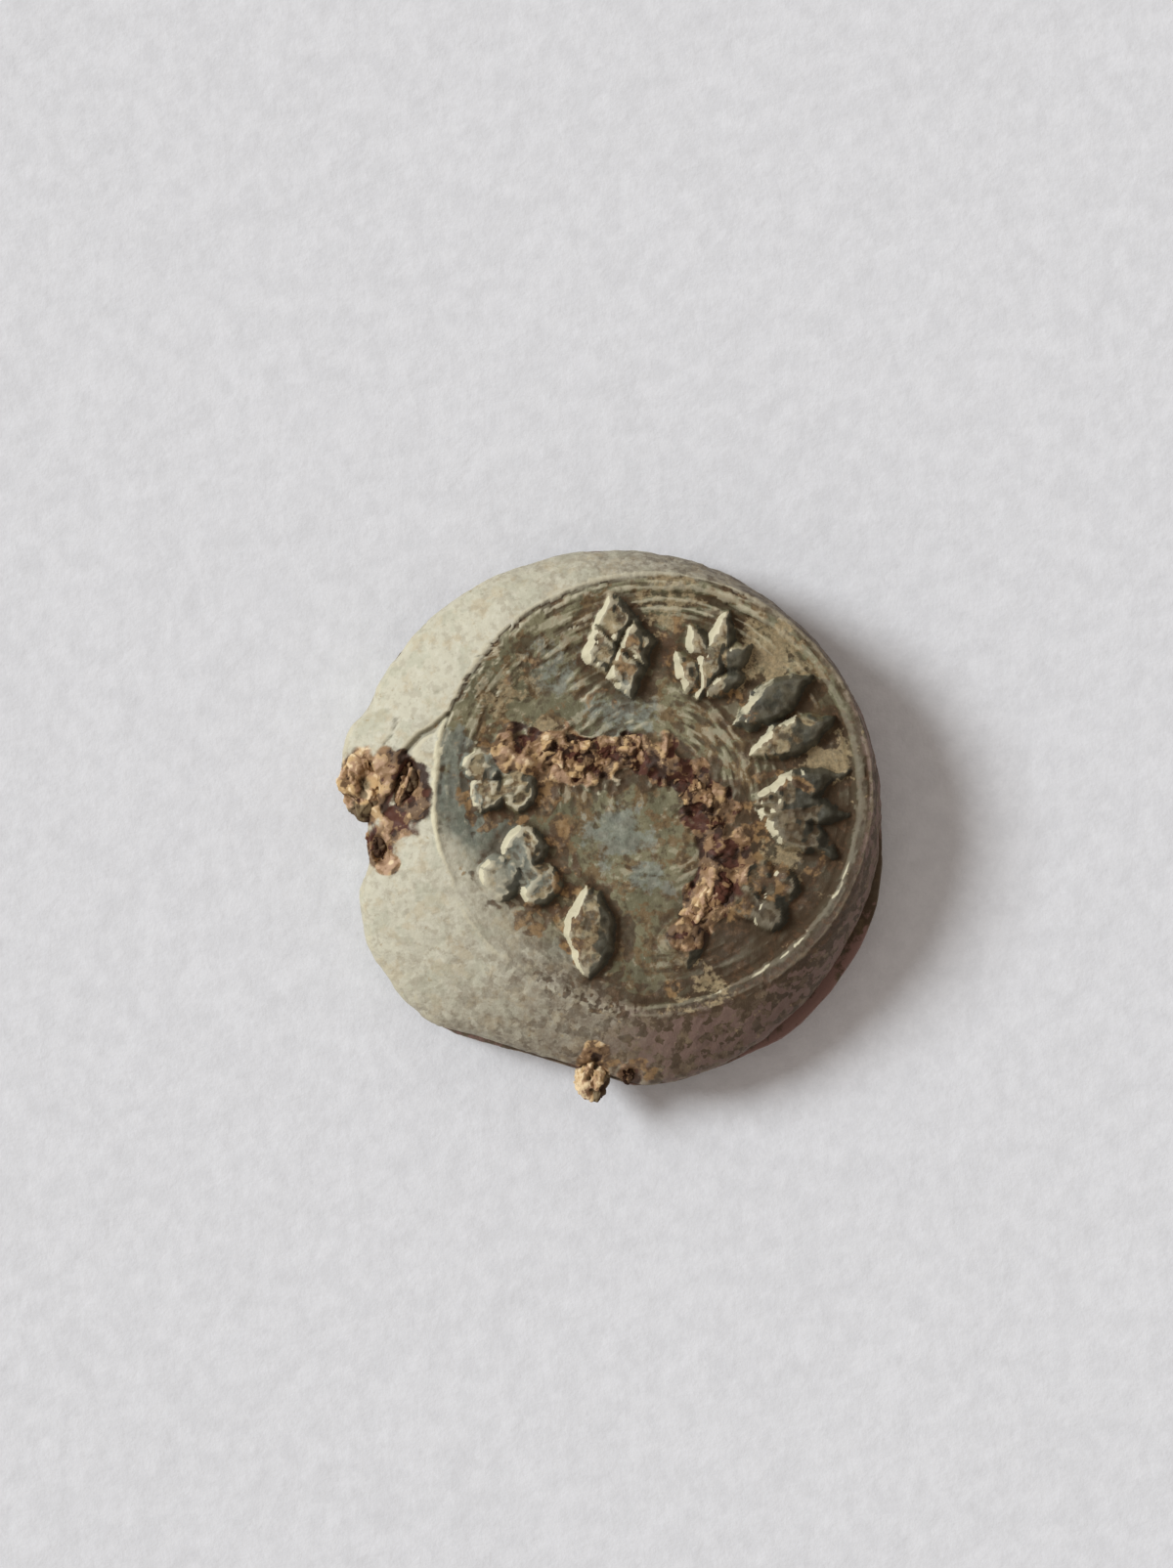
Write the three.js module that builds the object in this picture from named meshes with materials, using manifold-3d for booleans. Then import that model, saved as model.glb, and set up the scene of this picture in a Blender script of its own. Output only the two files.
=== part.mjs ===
// Lead seal. Two lead discs are pressed together over two strands of iron sealing wire.
// The front disc is struck off centre by a round die, which leaves a sunken field, a border
// of turned rings and a ring of raised marks. The wire has rusted: its cut ends carry lumps
// of rust at the rim, and the long strand has burst up through the struck field.
// Millimetres, +Z up. The origin is the middle of the blank, on its flat back face.

import * as THREE from "three";
import { mergeVertices } from "three/addons/utils/BufferGeometryUtils.js";
import Module from "manifold-3d";

// Driving sizes of the lead
const blankRadius = 11.0; // middle of the blank to its rim
const backThickness = 2.2; // back face to the seam between the discs
const frontThickness = 2.3; // seam to the ridge round the struck field
const rimWall = 0.35; // upright edge of the front disc above the seam
const shoulderDrop = 1.35; // ridge down to the shoulder, where the flank turns steep
const shoulderWidth = 0.45; // rim in to the shoulder, where the flank is widest
const flankDrop = 0.55; // ridge down to the middle of the flank
const backBevelRun = 1.1; // rim in to the flat back face
const backBevelRise = 0.9; // back face up to the full width of the back disc
const backBevelBulge = 0.25; // how far the bevel's middle is rounded out
const flatFacing = 253.8; // degrees, counter-clockwise from +X, that the flattened edge faces
const frontFlatDepth = 0.77; // how much the flattened edge takes off the radius
const backFlatDepth = 0.62;
const backSpread = 0.6; // how far the back disc stands out past the front one

// Driving sizes of the strike
const dieRadius = 8.83; // axis of the die to the groove at its edge
const dieOffsetX = 1.53; // middle of the blank to the die's axis
const dieOffsetY = 0.96;
const ridgeWidth = 0.2; // groove out to the ridge, where the flank begins
const grooveDepth = 0.2; // ridge down to the bottom of the groove
const borderWidth = 0.33; // groove in to the crest of the raised border
const borderDrop = 0.1; // ridge down to that crest
const fieldDepth = 0.55; // ridge down to the field
const stepRun = 0.3; // crest of the border in to the foot of its step
const ringCount = 2; // turned rings inside the step
const ringPitch = 0.34;
const ringWidth = 0.17;
const ringHeight = 0.1;
const backGrooveInsets = [5.23, 3.23, 1.23]; // die's edge in to the rings left by the anvil
const backGrooveWidth = 0.4;
const backGrooveDepth = 0.15;

// Driving sizes of the raised marks
const markRingInset = 2.68; // die's edge in to the middle of a mark
const markPitch = 36; // degrees from one mark to the next
const firstMark = 102; // degrees, counter-clockwise from +X
const markHeight = 0.75; // field to the top of a fresh mark
const markRoot = 0.3; // foot of a mark, set into the field
const markPlinth = 0.08; // how much of the foot stands above the field
const markBevel = 0.2; // slope of a mark's sides, in plan

// Driving sizes of the wire and its rust
const wireRadius = 0.45;
const channelClearance = 0.2; // round the wire, in both discs and in the rust
const rustClearance = 0.3; // round the rust where it sits in the lead
const ridgeRustRadius = 0.86; // half width of the rust in the field
const ridgeRustProud = 0.42; // rust above the field
const wireSides = 8;
const stepLength = 0.95; // along a wire, between its rings of points
const turnSteps = 60; // facets round the discs

// Heights and places that follow from them
const seamZ = backThickness;
const ridgeZ = seamZ + frontThickness;
const fieldZ = ridgeZ - fieldDepth;
const wireZ = seamZ; // the wire is pressed as deep into one disc as into the other
const markRingRadius = dieRadius - markRingInset;

const wasm = await Module();
wasm.setup();

const leadColour = 0x8f8c78;
const backColour = 0x837c68;
const ironColour = 0x4a342a;
const rustColour = 0x7a4a2c;
const darkRustColour = 0x53301f;

// A closed three.js geometry as a solid that can be joined and cut.
function solidOf(geometry) {
  const bare = geometry.clone();
  bare.deleteAttribute("normal");
  bare.deleteAttribute("uv");
  const merged = mergeVertices(bare, 1e-4);
  const made = new wasm.Mesh({
    numProp: 3,
    vertProperties: new Float32Array(merged.attributes.position.array),
    triVerts: new Uint32Array(merged.index.array),
  });
  return new wasm.Manifold(made);
}

function joined(solids) {
  return solids.reduce((whole, each) => whole.add(each));
}

// A solid as a named mesh.
function meshOf(name, solid, colour, roughness, metalness) {
  const { vertProperties, triVerts, numProp } = solid.getMesh();
  const positions = new Float32Array((vertProperties.length / numProp) * 3);
  for (let i = 0; i < positions.length / 3; i++)
    positions.set(vertProperties.subarray(i * numProp, i * numProp + 3), i * 3);
  const geometry = new THREE.BufferGeometry();
  geometry.setAttribute("position", new THREE.BufferAttribute(positions, 3));
  geometry.setIndex(new THREE.BufferAttribute(new Uint32Array(triVerts), 1));
  geometry.computeVertexNormals();
  const material = new THREE.MeshStandardMaterial({ color: colour, roughness, metalness });
  const mesh = new THREE.Mesh(geometry, material);
  mesh.name = name;
  return mesh;
}

// Moves every vertex of a geometry with a function of its place.
function reshape(geometry, move) {
  const place = geometry.attributes.position;
  const point = new THREE.Vector3();
  for (let i = 0; i < place.count; i++) {
    point.fromBufferAttribute(place, i);
    move(point);
    place.setXYZ(i, point.x, point.y, point.z);
  }
  return geometry;
}

// The rim as it was squeezed out of round. Each bulge or dent spreads `half` degrees to
// either side of its middle, and the flat crops what is past it.
const rimShape = [
  { at: 139, rise: 0.1, half: 22 },
  { at: 166, rise: 0.45, half: 8 },
  { at: 185.5, rise: -0.85, half: 9 }, // where the wire comes in
  { at: 216, rise: 0.42, half: 15 },
  { at: 286, rise: 0.15, half: 13 },
  { at: 328, rise: -0.1, half: 18 },
];
const backShape = [...rimShape, { at: 325, rise: backSpread, half: 26 }];
const frontRim = { shape: rimShape, flatDistance: blankRadius - frontFlatDepth };
const backRim = { shape: backShape, flatDistance: blankRadius - backFlatDepth };

function degreesFrom(angle, middle) {
  return THREE.MathUtils.euclideanModulo(angle - middle + 180, 360) - 180;
}

function rimRadiusAt(degrees, { shape, flatDistance } = frontRim) {
  let radius = blankRadius;
  for (const { at, rise, half } of shape)
    radius += rise * Math.exp(-((degreesFrom(degrees, at) / half) ** 4));
  const off = THREE.MathUtils.degToRad(degreesFrom(degrees, flatFacing));
  return Math.min(radius, flatDistance / Math.max(Math.cos(off), 0.5));
}

// A profile of [radius, height] pairs, from the axis at the bottom to the axis at the top,
// turned about +Z.
function turned(profile) {
  const points = profile.map(([radius, height]) => new THREE.Vector2(radius, height));
  return new THREE.LatheGeometry(points, turnSteps).rotateX(Math.PI / 2);
}

// The front disc before the wire marks it. Inside the ridge it is turned about the die's
// axis, and from there the flank runs out to the squeezed rim.
function struckBlank() {
  const outer = blankRadius;
  const inner = dieRadius + ridgeWidth;
  const widest = outer + Math.hypot(dieOffsetX, dieOffsetY) - inner;
  const shoulder = outer - (shoulderWidth * (outer - inner)) / widest;
  const foot = dieRadius - borderWidth - stepRun;
  const profile = [
    [0, seamZ],
    [inner, seamZ],
    [outer, seamZ],
    [outer, seamZ + rimWall],
    [shoulder, ridgeZ - shoulderDrop],
    [(shoulder + inner) / 2, ridgeZ - flankDrop],
    [inner, ridgeZ],
    [dieRadius, ridgeZ - grooveDepth],
    [dieRadius - borderWidth, ridgeZ - borderDrop],
    [foot, fieldZ],
  ];
  for (let i = 0; i < ringCount; i++) {
    const middle = foot - (i + 0.7) * ringPitch;
    profile.push([middle + ringWidth / 2, fieldZ]);
    profile.push([middle, fieldZ + ringHeight]);
    profile.push([middle - ringWidth / 2, fieldZ]);
  }
  profile.push([0, fieldZ]);
  return reshape(turned(profile), (point) => {
    const angle = Math.atan2(point.y, point.x);
    const radius = Math.hypot(point.x, point.y);
    const out = THREE.MathUtils.clamp((radius - inner) / (outer - inner), 0, 1);
    const kept = Math.min(radius, inner);
    const x = dieOffsetX + kept * Math.cos(angle);
    const y = dieOffsetY + kept * Math.sin(angle);
    const rim = rimRadiusAt(THREE.MathUtils.radToDeg(angle));
    point.x = THREE.MathUtils.lerp(x, rim * Math.cos(angle), out);
    point.y = THREE.MathUtils.lerp(y, rim * Math.sin(angle), out);
  });
}

// The back disc before the wire marks it: flat below, with a bevelled edge.
function backBlank() {
  const profile = [
    [0, 0],
    [blankRadius - backBevelRun, 0],
    [blankRadius - backBevelRun / 2 + backBevelBulge, backBevelRise / 2 - backBevelBulge],
    [blankRadius, backBevelRise],
    [blankRadius, seamZ],
    [0, seamZ],
  ];
  return reshape(turned(profile), (point) => {
    const degrees = THREE.MathUtils.radToDeg(Math.atan2(point.y, point.x));
    const squeeze = rimRadiusAt(degrees, backRim) / blankRadius;
    point.x *= squeeze;
    point.y *= squeeze;
  });
}

// A ring with a three-cornered section round the die's axis, for a groove in the back face.
function grooveCutter(inset) {
  const radius = dieRadius - inset;
  const profile = [
    [radius - backGrooveWidth, -backGrooveDepth],
    [radius + backGrooveWidth, -backGrooveDepth],
    [radius, backGrooveDepth],
    [radius - backGrooveWidth, -backGrooveDepth],
  ];
  return solidOf(turned(profile).translate(dieOffsetX, dieOffsetY, 0));
}

// Wire. Each strand runs through the seam from one cut end to another. An end is `at` so many
// degrees round the rim, and stops `past` the rim, or short of it where that is below zero.
const longStart = { at: 171, past: -0.9 };
const longEnd = { at: 273, past: -1.3 };
const shortStart = { at: 187, past: -0.9 };
const shortEnd = { at: 266, past: 0.2 };

const longInner = [
  [-8.7, 1.85],
  [-6.2, 2.4],
  [-3.5, 2.65],
  [-1.5, 2.5],
  [0.5, 2.6],
  [2.5, 2.05],
  [3.7, 0.65],
  [4.4, -1.35],
  [4.2, -2.9],
  [3.1, -4.6],
  [1.8, -6.4],
  [1.05, -8.2],
];
const shortInner = [
  [-7.6, -1.9],
  [-5.6, -2.8],
  [-3.6, -4.1],
  [-2.0, -6.0],
  [-1.15, -8.2],
];

// A place by a strand's end: `along` runs out past the rim, `across` to its left, and `up`
// from the wire's middle.
function atExit({ at }, { along, across = 0, up = 0 }) {
  const angle = THREE.MathUtils.degToRad(at);
  const radius = rimRadiusAt(at) + along;
  return new THREE.Vector3(
    radius * Math.cos(angle) - across * Math.sin(angle),
    radius * Math.sin(angle) + across * Math.cos(angle),
    wireZ + up,
  );
}

// The line of a strand's channel, which runs on by `channelReach` past the wire at both ends.
const channelReach = 3;

function channelLine(start, inner, end) {
  const points = inner.map(([x, y]) => new THREE.Vector3(x, y, wireZ));
  const near = (cut) => atExit(cut, { along: cut.past });
  const far = (cut) => atExit(cut, { along: cut.past + channelReach });
  const all = [far(start), near(start), ...points, near(end), far(end)];
  return new THREE.CatmullRomCurve3(all, false, "centripetal");
}

// Part of a line, from one length along it to another, raised by `lift`.
function stretch(line, from, to, step, lift = 0) {
  const length = line.getLength();
  const count = Math.max(2, Math.round((to - from) / step));
  const points = Array.from({ length: count + 1 }, (_, i) => {
    const point = line.getPointAt(THREE.MathUtils.lerp(from, to, i / count) / length);
    return point.add(new THREE.Vector3(0, 0, lift));
  });
  return new THREE.CatmullRomCurve3(points, false, "centripetal");
}

const longLine = channelLine(longStart, longInner, longEnd);
const shortLine = channelLine(shortStart, shortInner, shortEnd);

// The wire's own stretch of its channel line, run on by `more` at both ends.
function wireRoute(line, more = 0) {
  return stretch(line, channelReach - more, line.getLength() - channelReach + more, stepLength);
}

// A round bar along a curve, with a ring of points at each `step` of its length.
function bar(route, radius, step = stepLength) {
  const section = new THREE.Shape();
  for (let i = 0; i < wireSides; i++) {
    const angle = ((i + 0.5) / wireSides) * 2 * Math.PI;
    const corner = [radius * Math.cos(angle), radius * Math.sin(angle)];
    if (i === 0) section.moveTo(...corner);
    else section.lineTo(...corner);
  }
  const steps = Math.max(2, Math.round(route.getLength() / step));
  return new THREE.ExtrudeGeometry(section, { steps, extrudePath: route, bevelEnabled: false });
}

// Rust. Every lump and ridge has the same uneven skin, which is a smooth function of place.
const skinWave = 0.9; // length of one swell
const skinSwell = 0.13;

function roughened(geometry) {
  const k = (2 * Math.PI) / skinWave;
  return reshape(geometry, (point) => {
    const { x, y, z } = point;
    point.x += skinSwell * Math.sin(0.61 * k * y + 1.3) * Math.cos(0.47 * k * z);
    point.y += skinSwell * Math.sin(0.53 * k * z + 0.4) * Math.cos(0.58 * k * x + 0.9);
    point.z += skinSwell * Math.sin(0.44 * k * x + 2.1) * Math.cos(0.66 * k * y);
  });
}

// A lump of rust by a strand's cut end, grown by `spare` on every side.
function lump({ end, middle, radii, tilt }, spare = 0) {
  const geometry = new THREE.IcosahedronGeometry(1, 3);
  geometry.scale(...radii.map((radius) => radius + spare));
  geometry.rotateZ(THREE.MathUtils.degToRad(tilt));
  geometry.translate(...atExit(end, middle).toArray());
  return solidOf(roughened(geometry));
}

const lumps = {
  rust_lump_left_outer: {
    end: longStart,
    middle: { along: -1.02, across: 0.36, up: 0.3 },
    radii: [1.0, 1.45, 1.1],
    tilt: 10,
  },
  rust_lump_left_inner: {
    end: longStart,
    middle: { along: -2.75, across: -0.15, up: 0.9 },
    radii: [0.56, 1.2, 1.05],
    tilt: -15,
  },
  rust_lump_left_small: {
    end: shortStart,
    middle: { along: -0.4, across: 0.05, up: 0 },
    radii: [0.52, 0.82, 0.75],
    tilt: 15,
  },
  rust_lump_bottom: {
    end: shortEnd,
    middle: { along: 0.3, across: -0.17, up: 0.1 },
    radii: [0.78, 1.0, 0.95],
    tilt: 0,
  },
  rust_flake_bottom: {
    end: longEnd,
    middle: { along: -0.3, across: 0.05, up: 0.1 },
    radii: [0.45, 0.52, 0.55],
    tilt: 0,
  },
};

// The stretches of the long strand that burst through the field, in millimetres along its
// channel line. The rust there stands proud of the field.
const bursts = {
  rust_ridge_upper: [10.0, 15.1],
  rust_ridge_bend: [15.9, 19.7],
  rust_ridge_lower: [20.5, 24.0],
};
const burstStep = 0.6; // along the rust, between its rings of points
const burstLift = fieldZ + ridgeRustProud - ridgeRustRadius - wireZ;

function burst([from, to], spare = 0) {
  const route = stretch(longLine, from - spare, to + spare, burstStep, burstLift);
  return solidOf(roughened(bar(route, ridgeRustRadius + spare, burstStep)));
}

// One long pocket in the field holds all the stretches.
function burstPocket() {
  const spans = Object.values(bursts);
  return burst([spans[0][0], spans.at(-1)[1]], rustClearance);
}

// Marks. Each is a group of simple forms, drawn upright about its own middle, and then set on
// the ring with its foot towards the die's axis. A form has its middle, size and turn.
const forms = {
  disc: (width, length) => {
    const disc = new THREE.Shape();
    disc.absellipse(0, 0, width / 2, length / 2, 0, 2 * Math.PI);
    return disc;
  },
  leaf: (width, length) => {
    const leaf = new THREE.Shape();
    leaf.moveTo(0, -length / 2);
    leaf.quadraticCurveTo(width, 0, 0, length / 2);
    leaf.quadraticCurveTo(-width, 0, 0, -length / 2);
    return leaf;
  },
  lozenge: (width, length) => {
    const lozenge = new THREE.Shape();
    lozenge.moveTo(0, -length / 2);
    lozenge.lineTo(width / 2, 0);
    lozenge.lineTo(0, length / 2);
    lozenge.lineTo(-width / 2, 0);
    return lozenge;
  },
};

// Round lobes set evenly about the middle. `share` is a lobe's width as a share of the whole.
function lobes(count, width, length, first, share) {
  return Array.from({ length: count }, (_, i) => {
    const angle = THREE.MathUtils.degToRad(first + (360 / count) * i);
    const reach = 0.5 - share / 2;
    const x = reach * width * Math.cos(angle);
    const y = reach * length * Math.sin(angle);
    return { form: "disc", x, y, width: share * width, length: share * length, turn: 0 };
  });
}

// A form that grows from a point, out along its own turn.
function grown(form, x, y, width, length, turn) {
  const angle = THREE.MathUtils.degToRad(turn);
  const half = length / 2;
  return { form, x: x - half * Math.sin(angle), y: y + half * Math.cos(angle), width, length, turn };
}

const motifs = {
  lozenge: (width, length) => [{ form: "lozenge", x: 0, y: 0, width, length, turn: 0 }],
  leaf: (width, length) => [{ form: "leaf", x: 0, y: 0, width, length, turn: 0 }],
  fourLozenges: (width, length) =>
    [
      [0, 1],
      [1, 0],
      [0, -1],
      [-1, 0],
    ].map(([i, j]) => {
      const middle = { x: 0.26 * i * width, y: 0.26 * j * length };
      return { form: "lozenge", ...middle, width: 0.52 * width, length: 0.52 * length, turn: 0 };
    }),
  twoLeaves: (width, length) =>
    [-1, 1].map((side) =>
      grown("leaf", 0.2 * side * width, -length / 2, 0.44 * width, length, -5 * side),
    ),
  fan: (width, length) =>
    [-24, 0, 24].map((turn) =>
      grown("lozenge", -0.002 * turn * width, -length / 2, 0.42 * width, length, turn),
    ),
  sprig: (width, length) => [
    grown("leaf", 0, -length / 2, 0.34 * width, length, 0),
    ...[-1, 1].flatMap((side) => [
      grown("leaf", 0, -0.42 * length, 0.3 * width, 0.5 * length, 48 * side),
      grown("leaf", 0, -0.08 * length, 0.3 * width, 0.46 * length, 48 * side),
    ]),
  ],
  trefoil: (width, length) => lobes(3, width, length, 90, 0.54),
  quatrefoil: (width, length) => lobes(4, width, length, 45, 0.5),
};

// Counter-clockwise from the first mark, each `kept` to its share of the full height. The
// ring has room for ten, and one place is bare.
const marks = [
  { motif: "fourLozenges", width: 3.0, length: 4.0, kept: 1.0, turn: 0 },
  null,
  { motif: "quatrefoil", width: 3.3, length: 3.3, kept: 0.75, turn: 12 },
  { motif: "trefoil", width: 3.5, length: 3.5, kept: 0.8, turn: -10 },
  { motif: "leaf", width: 2.0, length: 3.8, kept: 0.95, turn: 26 },
  { motif: "lozenge", width: 2.2, length: 2.2, kept: 0.55, turn: 0 },
  { motif: "quatrefoil", width: 3.1, length: 3.1, kept: 0.7, turn: 20 },
  { motif: "fan", width: 3.6, length: 3.7, kept: 1.0, turn: 0 },
  { motif: "twoLeaves", width: 3.3, length: 3.8, kept: 1.0, turn: 0 },
  { motif: "sprig", width: 3.2, length: 3.9, kept: 0.95, turn: 4 },
];

// A mark stands on a low plinth of its full outline, and slopes in to its flat top. Below the
// field it slopes in again, so the same solid roots it in the lead.
function markSolid({ motif, width, length, kept, turn }, place) {
  const bodies = motifs[motif](width, length).map((part) => {
    const outline = forms[part.form](part.width - 2 * markBevel, part.length - 2 * markBevel);
    const geometry = new THREE.ExtrudeGeometry(outline, {
      depth: markRoot,
      bevelEnabled: true,
      bevelSegments: 1,
      bevelSize: markBevel,
      bevelThickness: markHeight * kept - markPlinth,
      curveSegments: 4,
    });
    geometry.rotateZ(THREE.MathUtils.degToRad(part.turn));
    geometry.translate(part.x, part.y, fieldZ + markPlinth - markRoot);
    geometry.rotateZ(THREE.MathUtils.degToRad(turn));
    geometry.translate(0, markRingRadius, 0);
    geometry.rotateZ(THREE.MathUtils.degToRad(firstMark + place * markPitch - 90));
    geometry.translate(dieOffsetX, dieOffsetY, 0);
    return solidOf(geometry);
  });
  return joined(bodies);
}

// Bars along both strands, with the clearance round the wire, run on by `more`.
function strandCutter(more) {
  const radius = wireRadius + channelClearance;
  return joined([longLine, shortLine].map((line) => solidOf(bar(wireRoute(line, more), radius))));
}

// Assembly
const channels = strandCutter(channelReach);
const sleeves = strandCutter(channelClearance);
const lumpPockets = Object.values(lumps).map((each) => lump(each, rustClearance));

const markSolids = marks.flatMap((mark, place) => (mark ? [markSolid(mark, place)] : []));
const frontDisc = joined([solidOf(struckBlank()), ...markSolids])
  .subtract(channels)
  .subtract(joined([...lumpPockets, burstPocket()]));
const backDisc = solidOf(backBlank())
  .subtract(channels)
  .subtract(joined(lumpPockets))
  .subtract(joined(backGrooveInsets.map(grooveCutter)));

const seal = new THREE.Group();
seal.add(meshOf("front_disc", frontDisc, leadColour, 0.75, 0.25));
seal.add(meshOf("back_disc", backDisc, backColour, 0.8, 0.2));
for (const [name, line] of [
  ["wire_long_strand", longLine],
  ["wire_short_strand", shortLine],
])
  seal.add(meshOf(name, solidOf(bar(wireRoute(line), wireRadius)), ironColour, 0.85, 0.4));
for (const [name, shape] of Object.entries(lumps)) {
  const made = lump(shape).subtract(sleeves);
  const colour = name.includes("flake") || name.includes("inner") ? darkRustColour : rustColour;
  seal.add(meshOf(name, made, colour, 0.95, 0));
}
for (const [name, span] of Object.entries(bursts))
  seal.add(meshOf(name, burst(span).subtract(sleeves), rustColour, 0.95, 0));

export default seal;
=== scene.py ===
# Lead seal: two lead discs struck together over two strands of iron wire, which has rusted.
# The dictionaries are in millimetres and degrees, and the finished meshes are in metres.
import math

import bmesh
import bpy
import numpy as np
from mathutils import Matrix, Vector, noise


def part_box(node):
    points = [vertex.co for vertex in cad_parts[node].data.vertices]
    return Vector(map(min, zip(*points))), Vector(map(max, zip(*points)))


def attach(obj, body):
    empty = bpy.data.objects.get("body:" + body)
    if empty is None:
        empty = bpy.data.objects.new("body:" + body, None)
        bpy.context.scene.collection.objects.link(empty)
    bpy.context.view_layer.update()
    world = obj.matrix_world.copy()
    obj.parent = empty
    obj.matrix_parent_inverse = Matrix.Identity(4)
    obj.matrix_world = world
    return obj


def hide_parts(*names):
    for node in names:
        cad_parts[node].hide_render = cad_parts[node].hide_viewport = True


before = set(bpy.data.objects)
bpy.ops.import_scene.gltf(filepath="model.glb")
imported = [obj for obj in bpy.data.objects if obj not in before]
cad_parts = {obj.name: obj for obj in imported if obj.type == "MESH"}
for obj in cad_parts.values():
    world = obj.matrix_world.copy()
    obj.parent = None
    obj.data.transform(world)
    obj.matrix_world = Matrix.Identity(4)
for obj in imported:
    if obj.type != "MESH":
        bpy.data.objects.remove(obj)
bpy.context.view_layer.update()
mm = 0.001

# Sizes that several pieces share
lead = {
    "blankRadius": 11.0,  # middle of the blank to its rim
    "seam": 2.2,  # back face to the seam between the discs
    "rimTop": 2.55,  # back face to the top of the front disc's upright edge
    "ridge": 4.5,  # back face to the ridge round the struck field
    "dieX": 1.53,  # middle of the blank to the die's axis
    "dieY": 0.96,
    "dieRadius": 8.83,  # die's axis to the groove at its edge
    "ridgeWidth": 0.2,
    "fieldDepth": 0.55,  # ridge down to the field
    "flatFacing": 253.8,  # degrees round that the flattened edge faces
    "frontFlat": 10.23,  # middle of the blank to the flattened edge
    "backFlat": 10.38,
}
field = lead["ridge"] - lead["fieldDepth"]

# Bulges and dents of the squeezed rim: degrees round, rise, and spread to either side
rimBulges = [
    (139, 0.1, 22),
    (166, 0.45, 8),
    (185.5, -0.85, 9),
    (216, 0.42, 15),
    (286, 0.15, 13),
    (328, -0.1, 18),
]
backSpread = (325, 0.6, 26)  # the back disc stands out at the lower right

# Wire: cut ends as degrees round the rim and reach past it, and chosen points between
longWire = {
    "start": (171, -0.9),
    "end": (273, -1.3),
    "points": [
        (-8.7, 1.85), (-6.2, 2.4), (-3.5, 2.65), (-1.5, 2.5), (0.5, 2.6), (2.5, 2.05),
        (3.7, 0.65), (4.4, -1.35), (4.2, -2.9), (3.1, -4.6), (1.8, -6.4), (1.05, -8.2),
    ],
}
shortWire = {
    "start": (187, -0.9),
    "end": (266, 0.2),
    "points": [(-7.6, -1.9), (-5.6, -2.8), (-3.6, -4.1), (-2.0, -6.0), (-1.15, -8.2)],
}
channelReach = 3.0  # the channel's line runs on past both ends of its wire


def smooth(values, low, high):
    share = np.clip((values - low) / (high - low), 0, 1)
    return share * share * (3 - 2 * share)


def mixed(share, under, over):
    return under + (over - under) * share


def hump(values, half, power=2):
    # 1 at 0, and next to nothing a little past `half` to either side
    return np.exp(-((values / half) ** power))


def degreesFrom(degrees, middle):
    return (degrees - middle + 180) % 360 - 180


def towards(degrees, middle, half, power=4):
    # 1 in one direction round the seal, and 0 away from it
    return hump(degreesFrom(degrees, middle), half, power)


def stacked(*columns):
    return np.stack(columns, axis=-1)


def swells(places, size, seed=0):
    # smooth noise, about -1 to 1, with one swell to each size
    shifted = places / size + np.array((17.3, 5.1, 29.7)) * seed
    return np.array([noise.noise(place) for place in shifted.tolist()])


def waves(places, sizes):
    # swells of several sizes together, each with its size, height and seed
    return sum(height * swells(places, size, seed) for size, height, seed in sizes)


def brokenGrains(places, size, seed=0):
    # angular grains: each has a level and a tilted flat top, and gaps lie between them
    shifted = places / size + np.array((3.7, 11.9, 23.3)) * seed
    gaps = np.empty(len(places))
    hearts = np.empty((len(places), 3))
    for i, place in enumerate(shifted.tolist()):
        distances, points = noise.voronoi(place)
        gaps[i] = distances[1] - distances[0]
        hearts[i] = points[0]
    luck = np.sin(hearts @ np.array((12.9898, 78.233, 37.719))) * 437.5
    level = luck - np.floor(luck)
    lean = stacked(np.sin(29 * level), np.cos(17 * level), 0 * level)
    tilt = np.sum((shifted - hearts) * lean, axis=1)
    return smooth(gaps, 0.0, 0.2), level, tilt


def rimRadius(degrees, bulges, flat):
    radius = np.full(np.shape(degrees), lead["blankRadius"])
    for at, rise, half in bulges:
        radius = radius + rise * towards(degrees, at, half)
    facing = np.cos(np.radians(degreesFrom(degrees, lead["flatFacing"])))
    return np.minimum(radius, flat / np.maximum(facing, 0.5))


def smoothLine(points, perSpan=24):
    # a curve through the points whose corners stay tight, as in the solid model
    known = np.array(points, float)
    known = np.vstack([2 * known[0] - known[1], known, 2 * known[-1] - known[-2]])
    spans = np.sqrt(np.linalg.norm(np.diff(known, axis=0), axis=1))
    line = []
    for i in range(len(known) - 3):
        before, here, there, after = known[i:i + 4]
        s0, s1, s2 = spans[i:i + 3]
        leave = ((here - before) / s0 - (there - before) / (s0 + s1) + (there - here) / s1) * s1
        arrive = ((there - here) / s1 - (after - here) / (s1 + s2) + (after - there) / s2) * s1
        for t in np.arange(perSpan) / perSpan:
            shape = (2 * t**3 - 3 * t**2 + 1) * here + (t**3 - 2 * t**2 + t) * leave
            line.append(shape + (3 * t**2 - 2 * t**3) * there + (t**3 - t**2) * arrive)
    line.append(known[-2])
    return np.array(line)


def onRim(degrees, past):
    reach = float(rimRadius(degrees, rimBulges, lead["frontFlat"])) + past
    return (reach * math.cos(math.radians(degrees)), reach * math.sin(math.radians(degrees)))


def channelLine(wire):
    (startAt, startPast), (endAt, endPast) = wire["start"], wire["end"]
    ends = [onRim(startAt, startPast + channelReach), onRim(startAt, startPast)]
    far = [onRim(endAt, endPast), onRim(endAt, endPast + channelReach)]
    return smoothLine(ends + wire["points"] + far)


def between(points, known, wanted):
    # places on the straight stretches that join the points
    return stacked(*(np.interp(wanted, known, points[:, i]) for i in range(2)))


def lengthsOf(line):
    steps = np.linalg.norm(np.diff(line, axis=0), axis=1)
    return np.concatenate([[0], np.cumsum(steps)])


def alongLine(line, lengths):
    return between(line, lengthsOf(line), lengths)


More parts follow.
